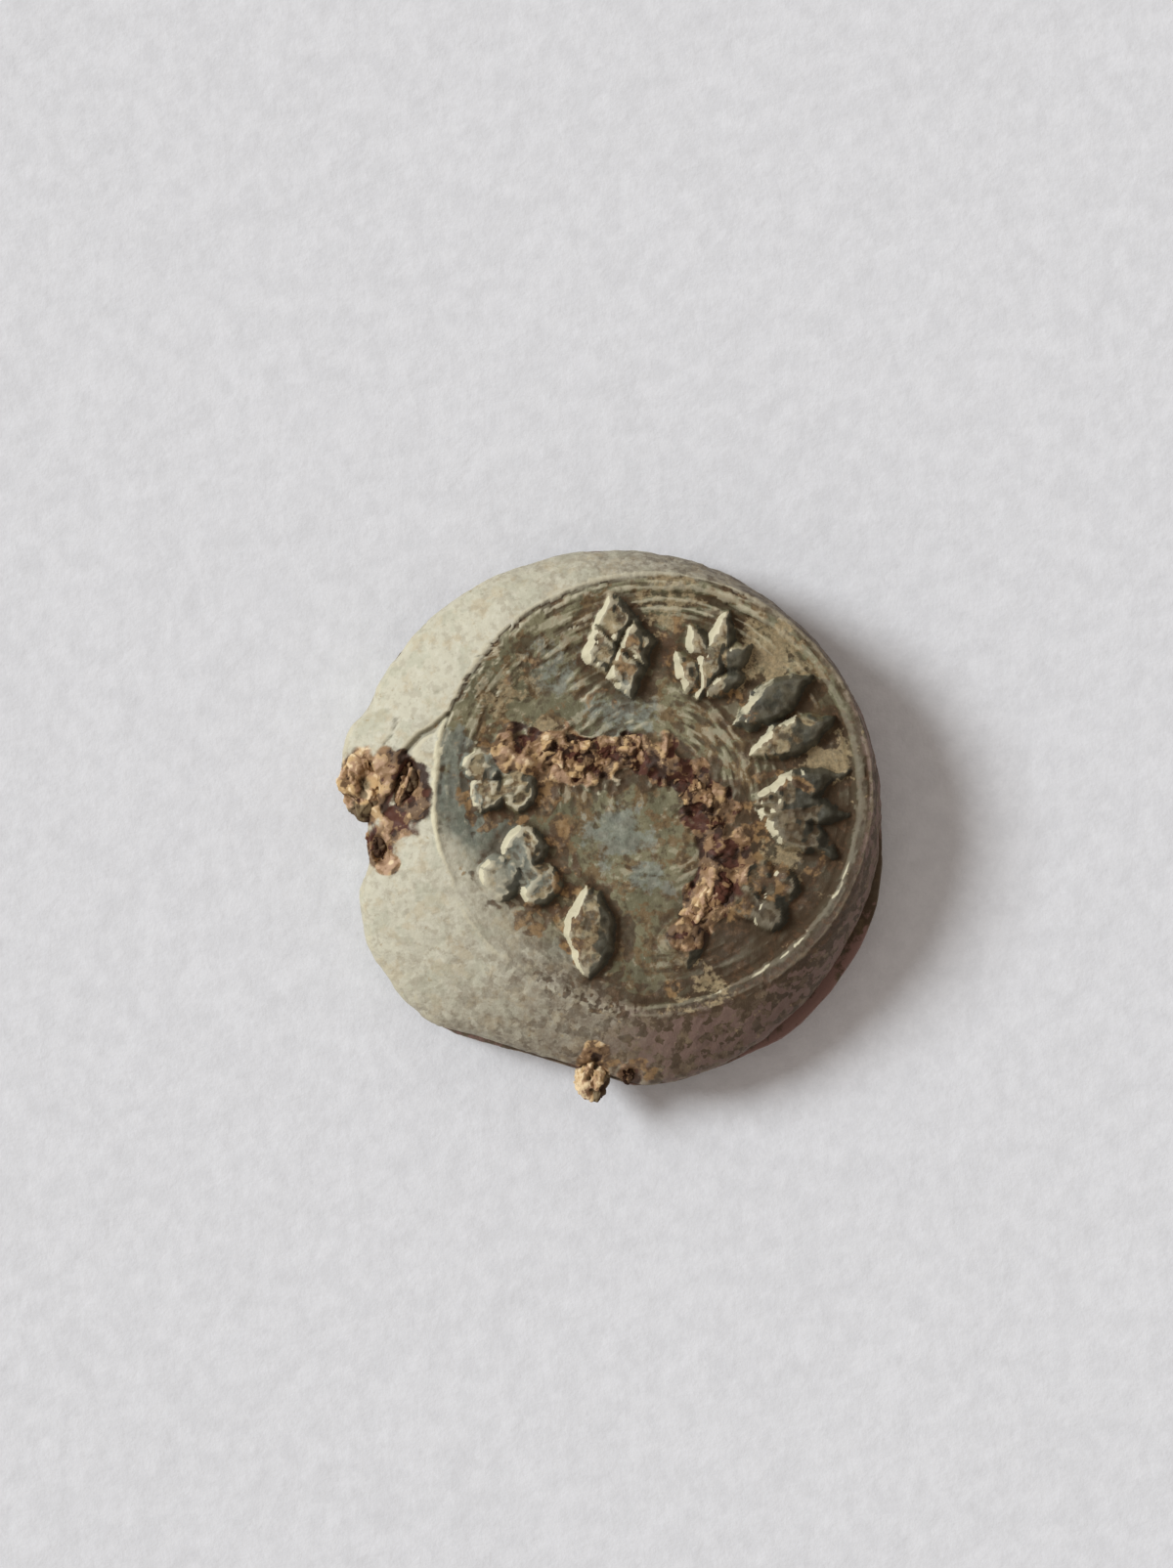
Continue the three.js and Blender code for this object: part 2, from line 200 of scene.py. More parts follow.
longLine = channelLine(longWire)
shortLine = channelLine(shortWire)


def distanceTo(points, x, y):
    nearest = np.full(np.shape(x), 1e3)
    for px, py in points:
        nearest = np.minimum(nearest, np.hypot(x - px, y - py))
    return nearest


def turned(x, y, degrees):
    c, s = math.cos(math.radians(degrees)), math.sin(math.radians(degrees))
    return x * c + y * s, y * c - x * s


def reachOf(x, y, middleX, middleY, across, along=None, turn=0):
    # how far out each place lies from the middle of an oval, with 1 at its edge
    tx, ty = turned(x - middleX, y - middleY, turn)
    return np.hypot(tx / across, ty / (along or across))


def coverOf(x, y, ovals, ragged, low, high):
    # the strongest cover that the ovals give each place, fading out from `low` to `high`
    cover = np.zeros_like(x)
    for *oval, strength in ovals:
        fade = smooth(reachOf(x, y, *oval) + ragged, low, high)
        cover = np.maximum(cover, strength * (1 - fade))
    return cover


# Shader maths
class Value:
    def __init__(self, finish, socket):
        self.finish = finish
        self.socket = socket

    def maths(self, operation, first, second):
        return self.finish.node("ShaderNodeMath", {"operation": operation}, {0: first, 1: second})

    def __add__(self, other):
        return self.maths("ADD", self, other)

    def __sub__(self, other):
        return self.maths("SUBTRACT", self, other)

    def __rsub__(self, other):
        return self.maths("SUBTRACT", other, self)

    def __mul__(self, other):
        return self.maths("MULTIPLY", self, other)

    __radd__ = __add__
    __rmul__ = __mul__


class Finish:
    def __init__(self, name):
        self.material = bpy.data.materials.new(name)
        self.material.use_nodes = True
        self.tree = self.material.node_tree
        self.tree.nodes.clear()
        self.place = self.node("ShaderNodeTexCoord", {}, {}, "Object")

    def node(self, kind, settings, sockets, output=0):
        # a socket takes a value or a number as it is, and a colour by its name in `paints`
        made = self.tree.nodes.new(kind)
        for name, setting in settings.items():
            setattr(made, name, setting)
        for name, given in sockets.items():
            if isinstance(given, Value):
                self.tree.links.new(given.socket, made.inputs[name])
            else:
                made.inputs[name].default_value = paint(given) if isinstance(given, str) else given
        return Value(self, made.outputs[output]) if made.outputs else None

    def grain(self, size, detail=3.0, rough=0.55, shift=0.0):
        sockets = {0: self.place, 1: (shift, shift, shift)}
        moved = self.node("ShaderNodeVectorMath", {"operation": "ADD"}, sockets)
        sockets = {"Vector": moved, "Scale": 1 / (size * mm), "Detail": detail, "Roughness": rough}
        return self.node("ShaderNodeTexNoise", {}, sockets)

    def cells(self, size, around=None, output=0):
        sockets = {"Vector": around or self.place, "Scale": 1 / (size * mm)}
        return self.node("ShaderNodeTexVoronoi", {"feature": "F1"}, sockets, output)

    def flecks(self, size):
        # ragged flecks that each have a level of their own, 0 to 1
        sockets = {"Vector": self.place, "Scale": 1.5 / (size * mm), "Detail": 3.0}
        pull = self.node("ShaderNodeTexNoise", {}, sockets, "Color")
        sockets = {0: pull, 1: (size * mm,) * 3, 2: self.place}
        moved = self.node("ShaderNodeVectorMath", {"operation": "MULTIPLY_ADD"}, sockets)
        return self.cells(size, moved, "Color")

    def band(self, value, low, high):
        sockets = {"Value": value, "From Min": low, "From Max": high}
        return self.node("ShaderNodeMapRange", {"interpolation_type": "SMOOTHSTEP"}, sockets)

    def spots(self, grain, low, high):
        return self.band(self.grain(*grain), low, high)

    def mask(self, name):
        return self.node("ShaderNodeAttribute", {"attribute_name": name}, {}, "Fac")

    def ragged(self, name, spread, low, high):
        # a mask with its edge broken up by noise
        return self.band(self.mask(name) + spread, low, high)

    def blend(self, share, under, over):
        return self.node("ShaderNodeMix", {"data_type": "RGBA"}, {0: share, 6: under, 7: over}, 2)

    def coats(self, colour, layers):
        # each layer is the share that it covers, and its colour
        for share, over in layers:
            colour = self.blend(share, colour, over)
        return colour

    def bump(self, height, depth, strength):
        sockets = {"Height": height, "Distance": depth * mm, "Strength": strength}
        return self.node("ShaderNodeBump", {}, sockets)

    def shade(self, colour, rough, normal, specular):
        sockets = {"Base Color": colour, "Roughness": rough, "Normal": normal}
        sockets["Specular IOR Level"] = specular
        surface = self.node("ShaderNodeBsdfPrincipled", {}, sockets)
        self.node("ShaderNodeOutputMaterial", {}, {"Surface": surface})
        return self.material


def paint(name):
    # a colour as seen on a screen, 0 to 255, as the linear colour that a shader takes
    return tuple(((tone / 255 + 0.055) / 1.055) ** 2.4 for tone in paints[name]) + (1.0,)


# Finishing of a piece
def finishPiece(mesh, places, masks, material, node):
    for mask, values in masks.items():
        made = mesh.attributes.new(mask, "FLOAT", "POINT")
        made.data.foreach_set("value", np.clip(values, 0, 1).astype(np.float32))
    low, high = (np.array(corner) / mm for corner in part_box(node))
    kept = np.clip(places, low, high)
    mesh.vertices.foreach_set("co", (kept * mm).ravel())
    mesh.polygons.foreach_set("use_smooth", np.ones(len(mesh.polygons), bool))
    mesh.update()
    mesh.materials.append(material)
    piece = bpy.data.objects.new(mesh.name, mesh)
    bpy.context.scene.collection.objects.link(piece)
    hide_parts(node)
    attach(piece, "root")
    print(f"{piece.name}: {len(mesh.polygons)} faces")


def meshOf(name, bm):
    mesh = bpy.data.meshes.new(name)
    bm.to_mesh(mesh)
    bm.free()
    return mesh


def vectorsOf(rows, name):
    flat = np.empty(len(rows) * 3)
    rows.foreach_get(name, flat)
    return flat.reshape(-1, 3)


def normalsOf(mesh, places):
    mesh.vertices.foreach_set("co", (places * mm).ravel())
    mesh.update()
    return vectorsOf(mesh.vertex_normals, "vector")


def wornRim(degrees, bulges, flat, look):
    # the rim's radius with nicks cut into it
    angle = np.radians(degrees)
    onRound = stacked(np.cos(angle), np.sin(angle), 0 * angle) * lead["blankRadius"]
    nicks = waves(onRound, look["nicks"]) + look["nicked"]
    return rimRadius(degrees, bulges, flat) - look["nick"] * np.clip(nicks, 0, 1)


def leadSkin(places, look):
    # how far old lead stands out from its smooth form, with pits at the tops of the last wave
    pitted = swells(places, look["skin"][-1][0], look["skin"][-1][2])
    depth, low, high = look["pits"]
    return waves(places, look["skin"]) - depth * smooth(pitted, low, high)


def leaningOf(normals):
    # 1 for a face that looks toward the side that light is painted from, and -1 for one that looks
    # away
    facing = math.radians(frontDisc["paintedLightFrom"])
    return normals @ np.array((math.cos(facing), math.sin(facing), 0))


def discGrid(segments, wallRings, flipped):
    # A square grid with a skirt. Its squares become the rings of a disc's face.
    bm = bmesh.new()
    bmesh.ops.create_grid(bm, x_segments=segments, y_segments=segments, size=1)
    rim = [edge for edge in bm.edges if edge.is_boundary]
    for _ in range(wallRings):
        made = bmesh.ops.extrude_edge_only(bm, edges=rim)["geom"]
        moved = [part for part in made if isinstance(part, bmesh.types.BMVert)]
        bmesh.ops.translate(bm, vec=(0, 0, -1), verts=moved)
        rim = [part for part in made if isinstance(part, bmesh.types.BMEdge) and part.is_boundary]
    filled = bmesh.ops.contextual_create(bm, geom=rim)["faces"]
    bmesh.ops.poke(bm, faces=filled)
    bmesh.ops.recalc_face_normals(bm, faces=bm.faces)
    if flipped:
        bmesh.ops.reverse_faces(bm, faces=bm.faces)
    return bm


def gridPolar(places):
    # each place of the grid as a share of the way out and an angle round
    a, b = places[:, 0], places[:, 1]
    wide = np.abs(a) >= np.abs(b)
    larger = np.where(wide, a, b)
    other = np.where(wide, b, a)
    slant = math.pi / 4 * other / np.where(larger == 0, 1, larger)
    angle = np.where(wide, slant, math.pi / 2 - slant) + math.pi * (larger < 0)
    return np.abs(larger), angle


def startDisc(name, look, skirt, flipped):
    # its mesh, and for each place the share of the way out, the angle round, the step down the
    # skirt and whether it is the middle of the skirt's far side
    mesh = meshOf(name, discGrid(look["segments"], skirt, flipped))
    grid = vectorsOf(mesh.vertices, "co")
    share, angle = gridPolar(grid)
    wall = -grid[:, 2]
    return mesh, share, angle, wall, (wall >= skirt) & (share < 1e-6)


def bending(places, normals, side, rounds):
    # how far each place of the grid lies under (+) or over (-) the mean of those round it
    first = places[: side * side].reshape(side, side, 3)
    soft = first
    for _ in range(rounds):
        wide = np.pad(soft, ((1, 1), (1, 1), (0, 0)), mode="edge")
        soft = (wide[:-2, 1:-1] + wide[2:, 1:-1] + wide[1:-1, :-2] + wide[1:-1, 2:]) / 4
    bent = np.zeros(len(places))
    bent[: side * side] = np.sum((soft - first).reshape(-1, 3) * normals[: side * side], axis=1)
    return bent


# Marks: the raised ornaments in a ring on the struck field
markRing = {
    "radius": 6.15,  # die's axis to the middle of a mark
    "pitch": 36,
    "first": 102,
    "height": 0.75,
    "slope": 0.3,  # width of a mark's steep side
    "crown": 0.9,  # width over which its top goes on rising
    "crownShare": 0.16,  # share of the height that this makes
    "spread": 0.09,  # how far the soft lead has spread round each form
    "bite": 0.12,  # how far the outline has been worn in and out
    "warp": 0.16,  # how far wear has pulled the forms about
    "blunt": 1.25,  # 1 leaves the tips sharp, and more than 1 rounds them
    "dent": 0.2,  # share of the height that a dent takes
    "limit": 0.7,  # height over the deepest field past which tops are pressed flat
    "pressed": 0.75,  # share of what stands past the limit that is pressed flat
    "lee": (0.75, -0.25),  # from a mark to its painted shadow and soil, which lie behind it away from the light
}
# Each mark's motif, width, length, share of the height that is kept, and turn
marks = [
    ("fourLozenges", 3.0, 4.0, 1.0, 0),
    None,
    ("quatrefoil", 3.3, 3.3, 0.75, 12),
    ("trefoil", 3.5, 3.5, 0.8, -10),
    ("leaf", 2.0, 3.8, 0.95, 26),
    ("lozenge", 2.2, 2.2, 0.55, 0),
    ("quatrefoil", 3.1, 3.1, 0.7, 20),
    ("fan", 3.6, 3.7, 1.0, 0),
    ("twoLeaves", 3.3, 3.8, 1.0, 0),
    ("sprig", 3.2, 3.9, 0.95, 4),
]


def lobes(count, width, length, first, share):
    parts = []
    for i in range(count):
        angle = math.radians(first + 360 / count * i)
        reach = 0.5 - share / 2
        x, y = reach * width * math.cos(angle), reach * length * math.sin(angle)
        parts.append(("disc", x, y, share * width, share * length, 0))
    return parts


def grown(form, x, y, width, length, turn):
    angle = math.radians(turn)
    half = length / 2
    return (form, x - half * math.sin(angle), y + half * math.cos(angle), width, length, turn)


def motifParts(motif, w, l):
    # each part is its form, middle, width, length and turn
    if motif == "fourLozenges":
        sides = [(0, 1), (1, 0), (0, -1), (-1, 0)]
        return [("lozenge", 0.26 * i * w, 0.26 * j * l, 0.52 * w, 0.52 * l, 0) for i, j in sides]
    if motif == "twoLeaves":
        return [grown("leaf", 0.2 * s * w, -l / 2, 0.44 * w, l, -5 * s) for s in (-1, 1)]
    if motif == "fan":
        return [grown("lozenge", -0.002 * t * w, -l / 2, 0.42 * w, l, t) for t in (-24, 0, 24)]
    if motif == "sprig":
        parts = [grown("leaf", 0, -l / 2, 0.34 * w, l, 0)]
        for side in (-1, 1):
            parts.append(grown("leaf", 0, -0.42 * l, 0.3 * w, 0.5 * l, 48 * side))
            parts.append(grown("leaf", 0, -0.08 * l, 0.3 * w, 0.46 * l, 48 * side))
        return parts
    if motif == "trefoil":
        return lobes(3, w, l, 90, 0.54)
    if motif == "quatrefoil":
        return lobes(4, w, l, 45, 0.5)
    return [(motif, 0, 0, w, l, 0)]


def formDepth(form, x, y, w, l):
    # how deep a place lies inside a form, and less than 0 outside it
    if form == "disc":
        return (1 - np.hypot(x / (w / 2), y / (l / 2))) * min(w, l) / 2
    blunt = markRing["blunt"]
    if form == "lozenge":
        reach = 1 - (np.abs(x / (w / 2)) ** blunt + np.abs(y / (l / 2)) ** blunt) ** (1 / blunt)
        return reach / math.hypot(2 / w, 2 / l)
    along = y / (l / 2)
    slope = np.hypot(1, 2 * w * along / l)
    side = (w / 2 * np.maximum(1 - along**2, 0) ** (1 / blunt) - np.abs(x)) / slope
    return np.minimum(side, (1 - np.abs(along)) * l / 2)


def markRelief(x, y, worn, pulled):
    # height of the marks over the field, how deep each place lies inside a mark, and how far it
    # is to that mark's side in painted light (1) or its side in painted shade (-1)
    look = markRing
    x, y = x - lead["dieX"], y - lead["dieY"]
    height, flank = np.zeros_like(x), np.zeros_like(x)
    inside = np.full_like(x, -1e3)
    paintedLightFrom = math.radians(frontDisc["paintedLightFrom"])
    toward = math.cos(paintedLightFrom) * x + math.sin(paintedLightFrom) * y
    for place, mark in enumerate(marks):
        if mark is None:
            continue
        motif, width, length, kept, turn = mark
        out = look["first"] + place * look["pitch"] - 90
        mx, my = turned(x + pulled[0], y + pulled[1], out)
        mx, my = turned(mx, my - look["radius"], turn)
        near = np.hypot(mx, my) < length
        middle = look["radius"] * math.cos(math.radians(out + 90) - paintedLightFrom)
        flank[near] = (toward[near] - middle) / (width / 2)
        mx, my, bite = mx[near], my[near], worn[near] * look["bite"]
        for form, px, py, w, l, tilt in motifParts(motif, width, length):
            deep = formDepth(form, *turned(mx - px, my - py, tilt), w, l) + look["spread"] + bite
            side = np.clip(deep / look["slope"], 0, 1)
            raised = mixed(look["crownShare"], side**0.8, smooth(deep, 0, look["crown"]))
            height[near] = np.maximum(height[near], look["height"] * kept * raised)
            inside[near] = np.maximum(inside[near], deep)
    return height, inside, flank


# Rust
crust = {
    "patch": 0.6,  # one patch of rust
    "patchRise": 0.1,
    "grain": 0.36,  # an angular grain
    "grainRise": 0.1,
    "chip": 0.2,
    "chipRise": 0.035,
    "lump": 1.2,
    "lumpRise": 0.2,
    "pit": 0.7,  # a hole, and how deep it is
    "pitDepth": 0.22,
}
# Where the rust is darkest, with painted shade beside the hook's shaded side: middle, reach and
# strength
darkRustAt = [
    (0.2, 2.2, 0.5, 0.35),
    (2.5, 1.4, 0.9, 0.35),
    (3.4, 0.2, 0.8, 0.3),
    (4.7, -1.6, 0.9, 0.3),
    (4.6, -2.9, 0.7, 0.4),
    (2.6, -5.0, 0.6, 0.35),
]


def crumbs(places, seed=0):
    # how far rust stands out from its smooth form at each place, and its tone from dark to pale
    warp = 0.12 * swells(places, 0.5, seed + 1)[:, None]
    patch = smooth(swells(places + warp, crust["patch"], seed), -0.15, 0.2)
    chip = swells(places, crust["chip"], seed + 2)
    swell = swells(places, crust["lump"], seed + 3)
    pit = smooth(swells(places + warp, crust["pit"], seed + 4), 0.2, 0.4)
    gap, level, tilt = brokenGrains(places + warp, crust["grain"], seed)
    rise = crust["lumpRise"] * swell + crust["patchRise"] * (patch - 0.5)
    rise += crust["grainRise"] * (level - 0.5 + 0.8 * tilt) - 0.04 * (1 - gap)
    rise += crust["chipRise"] * chip - crust["pitDepth"] * pit
    tone = 0.1 + 0.3 * patch + 0.34 * level + 0.5 * swell + 0.3 * chip
    tone -= 0.5 * pit + 0.1 * (1 - gap)
    for x, y, reach, strength in darkRustAt:
        distance = np.hypot(places[:, 0] - x, places[:, 1] - y) / reach
        tone -= strength * (1 - smooth(distance, 0.3, 1.3))
    return rise, tone


def flakes(places, size, seed=0):
    # the same for rust that breaks into angular flakes
    warp = 0.12 * swells(places, 0.6, seed + 1)[:, None]
    gap, level, tilt = brokenGrains(places + warp, size, seed)
    chip = swells(places, crust["chip"], seed + 2)
    rise = 0.24 * size * (level - 0.5) + 0.3 * size * tilt - 0.1 * (1 - gap)
    rise += 0.6 * crust["chipRise"] * chip
    return rise, 0.15 + 0.7 * level + 0.25 * chip - 0.25 * (1 - gap)


# The stretches of the long strand that burst through the field, along its channel line
bursts = {
    "rust_ridge_upper": (10.0, 15.1),
    "rust_ridge_bend": (15.9, 19.7),
    "rust_ridge_lower": (20.5, 24.0),
}
hook = {
    "from": 9.5,
    "to": 24.3,
    "halfWidth": 1.2,
    "edge": 0.5,  # width over which the crust thins out
    "rise": 0.1,  # crust over the lead beside the ridges
    "bridge": 0.3,  # the same in the gaps between the ridges
}

# Rust stains on the lead: middle, half width across and along, turn, and strength
stains = [
    (-3.33, -4.18, 0.9, 0.8, 0, 0.85),
    (-1.93, -2.77, 0.6, 0.8, 10, 0.85),
    (-1.53, -3.6, 0.32, 2.9, 0, 0.9),
    (-1.73, -4.98, 0.6, 0.7, 0, 0.8),
    (-4.9, 3.1, 0.9, 0.5, 20, 0.7),
    (6.9, 1.45, 1.3, 0.5, -15, 0.9),
    (6.5, -2.57, 1.0, 0.9, 30, 0.7),
    (8.1, -1.77, 0.6, 0.7, 0, 0.8),
    (5.7, -0.6, 0.7, 1.5, 0, 0.7),
    (5.0, -3.4, 0.8, 1.0, 20, 0.7),
    (0.6, 6.6, 0.5, 1.2, -8, 0.6),
    (3.2, 5.6, 0.9, 1.0, 0, 0.5),
    (-3.5, 6.2, 1.4, 0.35, 38, 0.7),
    (2.3, 7.2, 0.5, 1.3, -15, 0.75),
    (-5.9, 0.5, 0.5, 0.9, 20, 0.95),
    (-4.6, -0.1, 1.3, 0.5, 15, 0.95),
    (-2.2, -0.6, 0.6, 0.9, -10, 0.9),
    (-2.0, -3.7, 0.8, 0.6, 20, 1.0),
    (-2.6, 0.9, 0.5, 0.8, -30, 0.9),
    (-4.6, 3.6, 0.9, 0.4, 10, 0.8),
    (-0.4, 4.9, 1.0, 0.45, 0, 0.6),
    (5.1, 4.6, 0.5, 1.2, 50, 0.55),
    (2.4, -7.0, 0.6, 0.4, 10, 0.5),
    (-9.9, 1.3, 1.3, 1.6, 0, 0.7),
    (-9.6, -1.2, 0.8, 1.0, 15, 0.7),
    (-0.7, -10.2, 1.1, 0.9, 0, 0.6),
    (1.0, -10.4, 0.8, 0.6, 0, 0.8),
]

# Cracks that the swelling rust has opened in the lead: points, width and depth
cracks = [
    {"points": [(-8.5, 2.7), (-7.9, 3.35), (-7.4, 3.6), (-6.8, 4.2)], "half": 0.09, "depth": 0.3},
    {"points": [(-9.4, 3.0), (-9.0, 3.4), (-8.9, 4.0)], "half": 0.06, "depth": 0.15},
]

# Bare blue-grey lead: middle, radius and strength
barePatches = [
    (-6.7, 2.8, 1.0, 1.0),
    (-4.6, 2.4, 0.9, 0.8),
    (-6.6, 0.9, 1.3, 1.15),
    (-6.4, -0.7, 1.2, 1.1),
    (-5.0, -0.8, 1.3, 1.0),
    (-6.3, -1.7, 0.9, 0.8),
    (-4.0, -2.4, 1.2, 0.8),
    (0.1, -0.6, 1.4, 0.75),
    (1.5, -2.4, 1.0, 0.6),
    (-2.3, -5.8, 1.0, 0.6),
    (0.3, 4.4, 1.6, 0.6),
    (-2.5, 6.0, 1.5, 0.5),
]

# Pale tan crust that is left on the field: middle, radius and strength
crustedPatches = [
    (8.6, 2.2, 1.2, 0.9),
    (6.3, 6.6, 1.7, 0.8),
    (2.2, 8.8, 1.5, 0.6),
    (6.9, -1.8, 1.1, 0.8),
    (-2.9, 3.4, 0.8, 0.7),
    (3.6, -7.4, 1.5, 0.5),
    (-1.7, -3.9, 1.0, 0.6),
    (-4.3, 5.2, 1.5, 0.5),
]

# Lumps of rust: the cut end that each sits by (degrees round, and reach past the rim, to the
# left and up from there), half sizes, turn, and the height that the lead is pressed down to.
# Each dent is its middle, half width and depth, and less than 0 is a knob. Painted shade darkens
# the side of a lump that `darkSide` points to, and `halo` is the tone of the rust round it.
lumps = {
    "rust_lump_left_outer": {
        "end": (171, -1.02, 0.36, 0.3), "radii": (1.0, 1.45, 1.1), "tilt": 10, "bed": 2.7,
        "flake": 0.85, "paleness": 0.22, "halo": 0.2, "darkSide": (0.25, -1.0), "darkFrom": 0.5,
        "dents": [
            (0.1, 0.2, 0.45, 0.5), (0.0, -0.35, 0.3, 0.3), (-1.0, 0.0, 0.3, -0.2),
            (-0.85, -1.0, 0.5, 0.4), (-0.5, 1.1, 0.4, -0.1),
        ],
    },
    "rust_lump_left_inner": {
        "end": (171, -2.75, -0.15, 0.9), "radii": (0.56, 1.2, 1.05), "tilt": -15, "bed": 3.3,
        "flake": 0.9, "paleness": 0.16, "halo": -0.15, "darkSide": (1.0, -0.3), "darkFrom": -0.1,
        "dents": [(-0.1, 0.45, 0.22, 0.3), (-0.3, 1.25, 0.25, -0.2), (0.5, 0.3, 0.3, -0.15)],
    },
    "rust_lump_left_small": {
        "end": (187, -0.4, 0.05, 0), "radii": (0.52, 0.82, 0.75), "tilt": 15, "bed": 2.56,
        "flake": 0.7, "paleness": -0.1, "halo": -0.1, "darkSide": (1.0, 0.0), "darkFrom": -0.8,
        "dents": [(0.0, 0.1, 0.2, 0.2)],
    },
    "rust_lump_bottom": {
        "end": (266, 0.3, -0.17, 0.1), "radii": (0.78, 1.0, 0.95), "tilt": 0, "bed": 2.6,
        "flake": 0.8, "paleness": 0.3, "halo": 0.2, "darkSide": (1.0, -0.35), "darkFrom": 0.35,
        "dents": [
            (-0.15, 0.05, 0.17, 0.32), (0.25, 0.62, 0.16, 0.25), (0.0, -0.62, 0.19, 0.3),
            (0.35, -0.95, 0.2, -0.25),
        ],
    },
    "rust_flake_bottom": {
        "end": (273, -0.3, 0.05, 0.1), "radii": (0.45, 0.52, 0.55), "tilt": 0, "bed": 2.56,
        "flake": 0.6, "paleness": -0.1, "halo": 0.0, "darkSide": (0.0, 1.0), "darkFrom": -1.5,
        "dents": [],
    },
}

# Crumbs of rust on the lead between the lumps: middle, half width across and along, tone, rise
clumpPlaces = [
    (-9.4, 1.5, 0.55, 1.2, 0.3, 0.2),
    (-8.95, -0.2, 0.6, 0.75, 0.25, 0.05),
    (-8.3, 1.1, 0.7, 1.35, -0.2, 0.0),
    (-9.3, -1.9, 0.5, 0.4, 0.1, 0.0),
    (-0.75, -9.65, 0.5, 0.45, 0.35, 0.1),
]


def lumpMiddle(look):
    degrees, along, across, up = look["end"]
    x, y = onRim(degrees, along)
    angle = math.radians(degrees)
    return (x - across * math.sin(angle), y + across * math.cos(angle), lead["seam"] + up)


# Front disc
frontDisc = {
    "segments": 296,  # squares along each side of the grid
    "fieldRings": 108,  # rings from the die's axis to the ridge, of half the segments
    "wallRings": 5,
    "grooveDepth": 0.15,  # ridge down to the bottom of the groove at the die's edge
    "grooveHalf": 0.08,
    "wander": [(2.8, 0.12, 11), (0.6, 0.04, 14)],  # how the groove strays: size, reach, seed
    "chipped": 0.42,  # size of the chips out of the groove's edge
    "chipReach": (0.08, 0.24),  # how far they reach, elsewhere and at the upper left
    "border": 0.33,  # groove in to the crest of the raised border
    "borderDrop": 0.1,  # ridge down to that crest
    "crestHalf": 0.08,
    "stepRun": 0.3,  # crest in to the foot of its step
    "softRun": 3.0,  # ridge in to the field where it sinks slowly
    "ringCount": 2,  # turned rings inside the step
    "ringPitch": 0.34,
    "firstRing": 0.7,  # of the pitch, in from the foot of the step
    "ringHalf": 0.09,
    "ringHeight": 0.1,
    "dash": (0.17, 1.3),  # fine broken turned lines: their width and length
    "dashHeight": 0.044,
    "lip": 0.12,  # burr thrown up on the ridge at the left
    "tornDepth": 0.03,
    "flankBow": (0.967, 0.642),  # drop across the flank, by share and share squared
    "shoulderAt": 0.88,
    "tuck": 0.12,  # how far the edge draws in where the discs meet
    "nick": 0.09,  # how far nicks cut into the rim
    "nicked": 0.25,  # more than 0 for nicks on more than half of the rim
    "nicks": [(1.6, 1, 7), (0.6, 0.6, 8)],  # their waves: size, height and seed
    "skin": [(2.6, 0.06, 51), (0.9, 0.045, 52), (0.19, 0.014, 54), (0.36, 0.02, 53)],  # likewise
    "skinGrain": (0.4, 0.016),  # size and height of the broken grain in the skin
    "pits": (0.035, 0.25, 0.6),  # depth, and where on the last wave they start and are deepest
    "leeOfHook": (1.1, -0.5),  # from the hook of rust to its painted shadow and soil, which lie behind it away from the light
    "paleAndLitSide": 160,  # degrees round to the side whose crust is palest, with painted light there and painted shade opposite
    "paintedLightFrom": 165,  # degrees round to the side from which light is painted on the marks and rust
}
# Stretches round it: degrees round to the middle, spread to either side, and how square
stretches = {
    "ungrooved": (227, 57, 6),  # the die's edge left no groove
    "gentle": (181, 99, 6),  # the field sinks slowly
    "faded": (226, 32),  # the field fades into the flank
    "ringed": (55, 62),  # the turned rings show best
    "jagged": (140, 32),  # the groove's edge is chipped most
    "bright": (312, 38),  # the border's crest carries a painted highlight
    "scratched": (225, 32),  # the turned lines run on over the flank
    "lipped": (178, 26),  # the burr stands up
    "grimy": (284, 40),  # dirt lies at the foot of the border
    "torn": (264, 28),  # the ridge is torn
}
# Stripes along the die's edge: how far in to the middle, half width, and how square
stripes = {
    "lip": (-0.05, 0.14),
    "lipLight": (-0.1, 0.22),  # the part of the burr that carries a painted highlight
    "grime": (0.7, 0.45, 4),
    "outside": (-0.17, 0.33, 4),  # darker band outside the ridge
    "torn": (0.1, 0.45, 4),
}


def stripe(depth, name):
    middle, *spread = stripes[name]
    return hump(depth - middle, *spread)


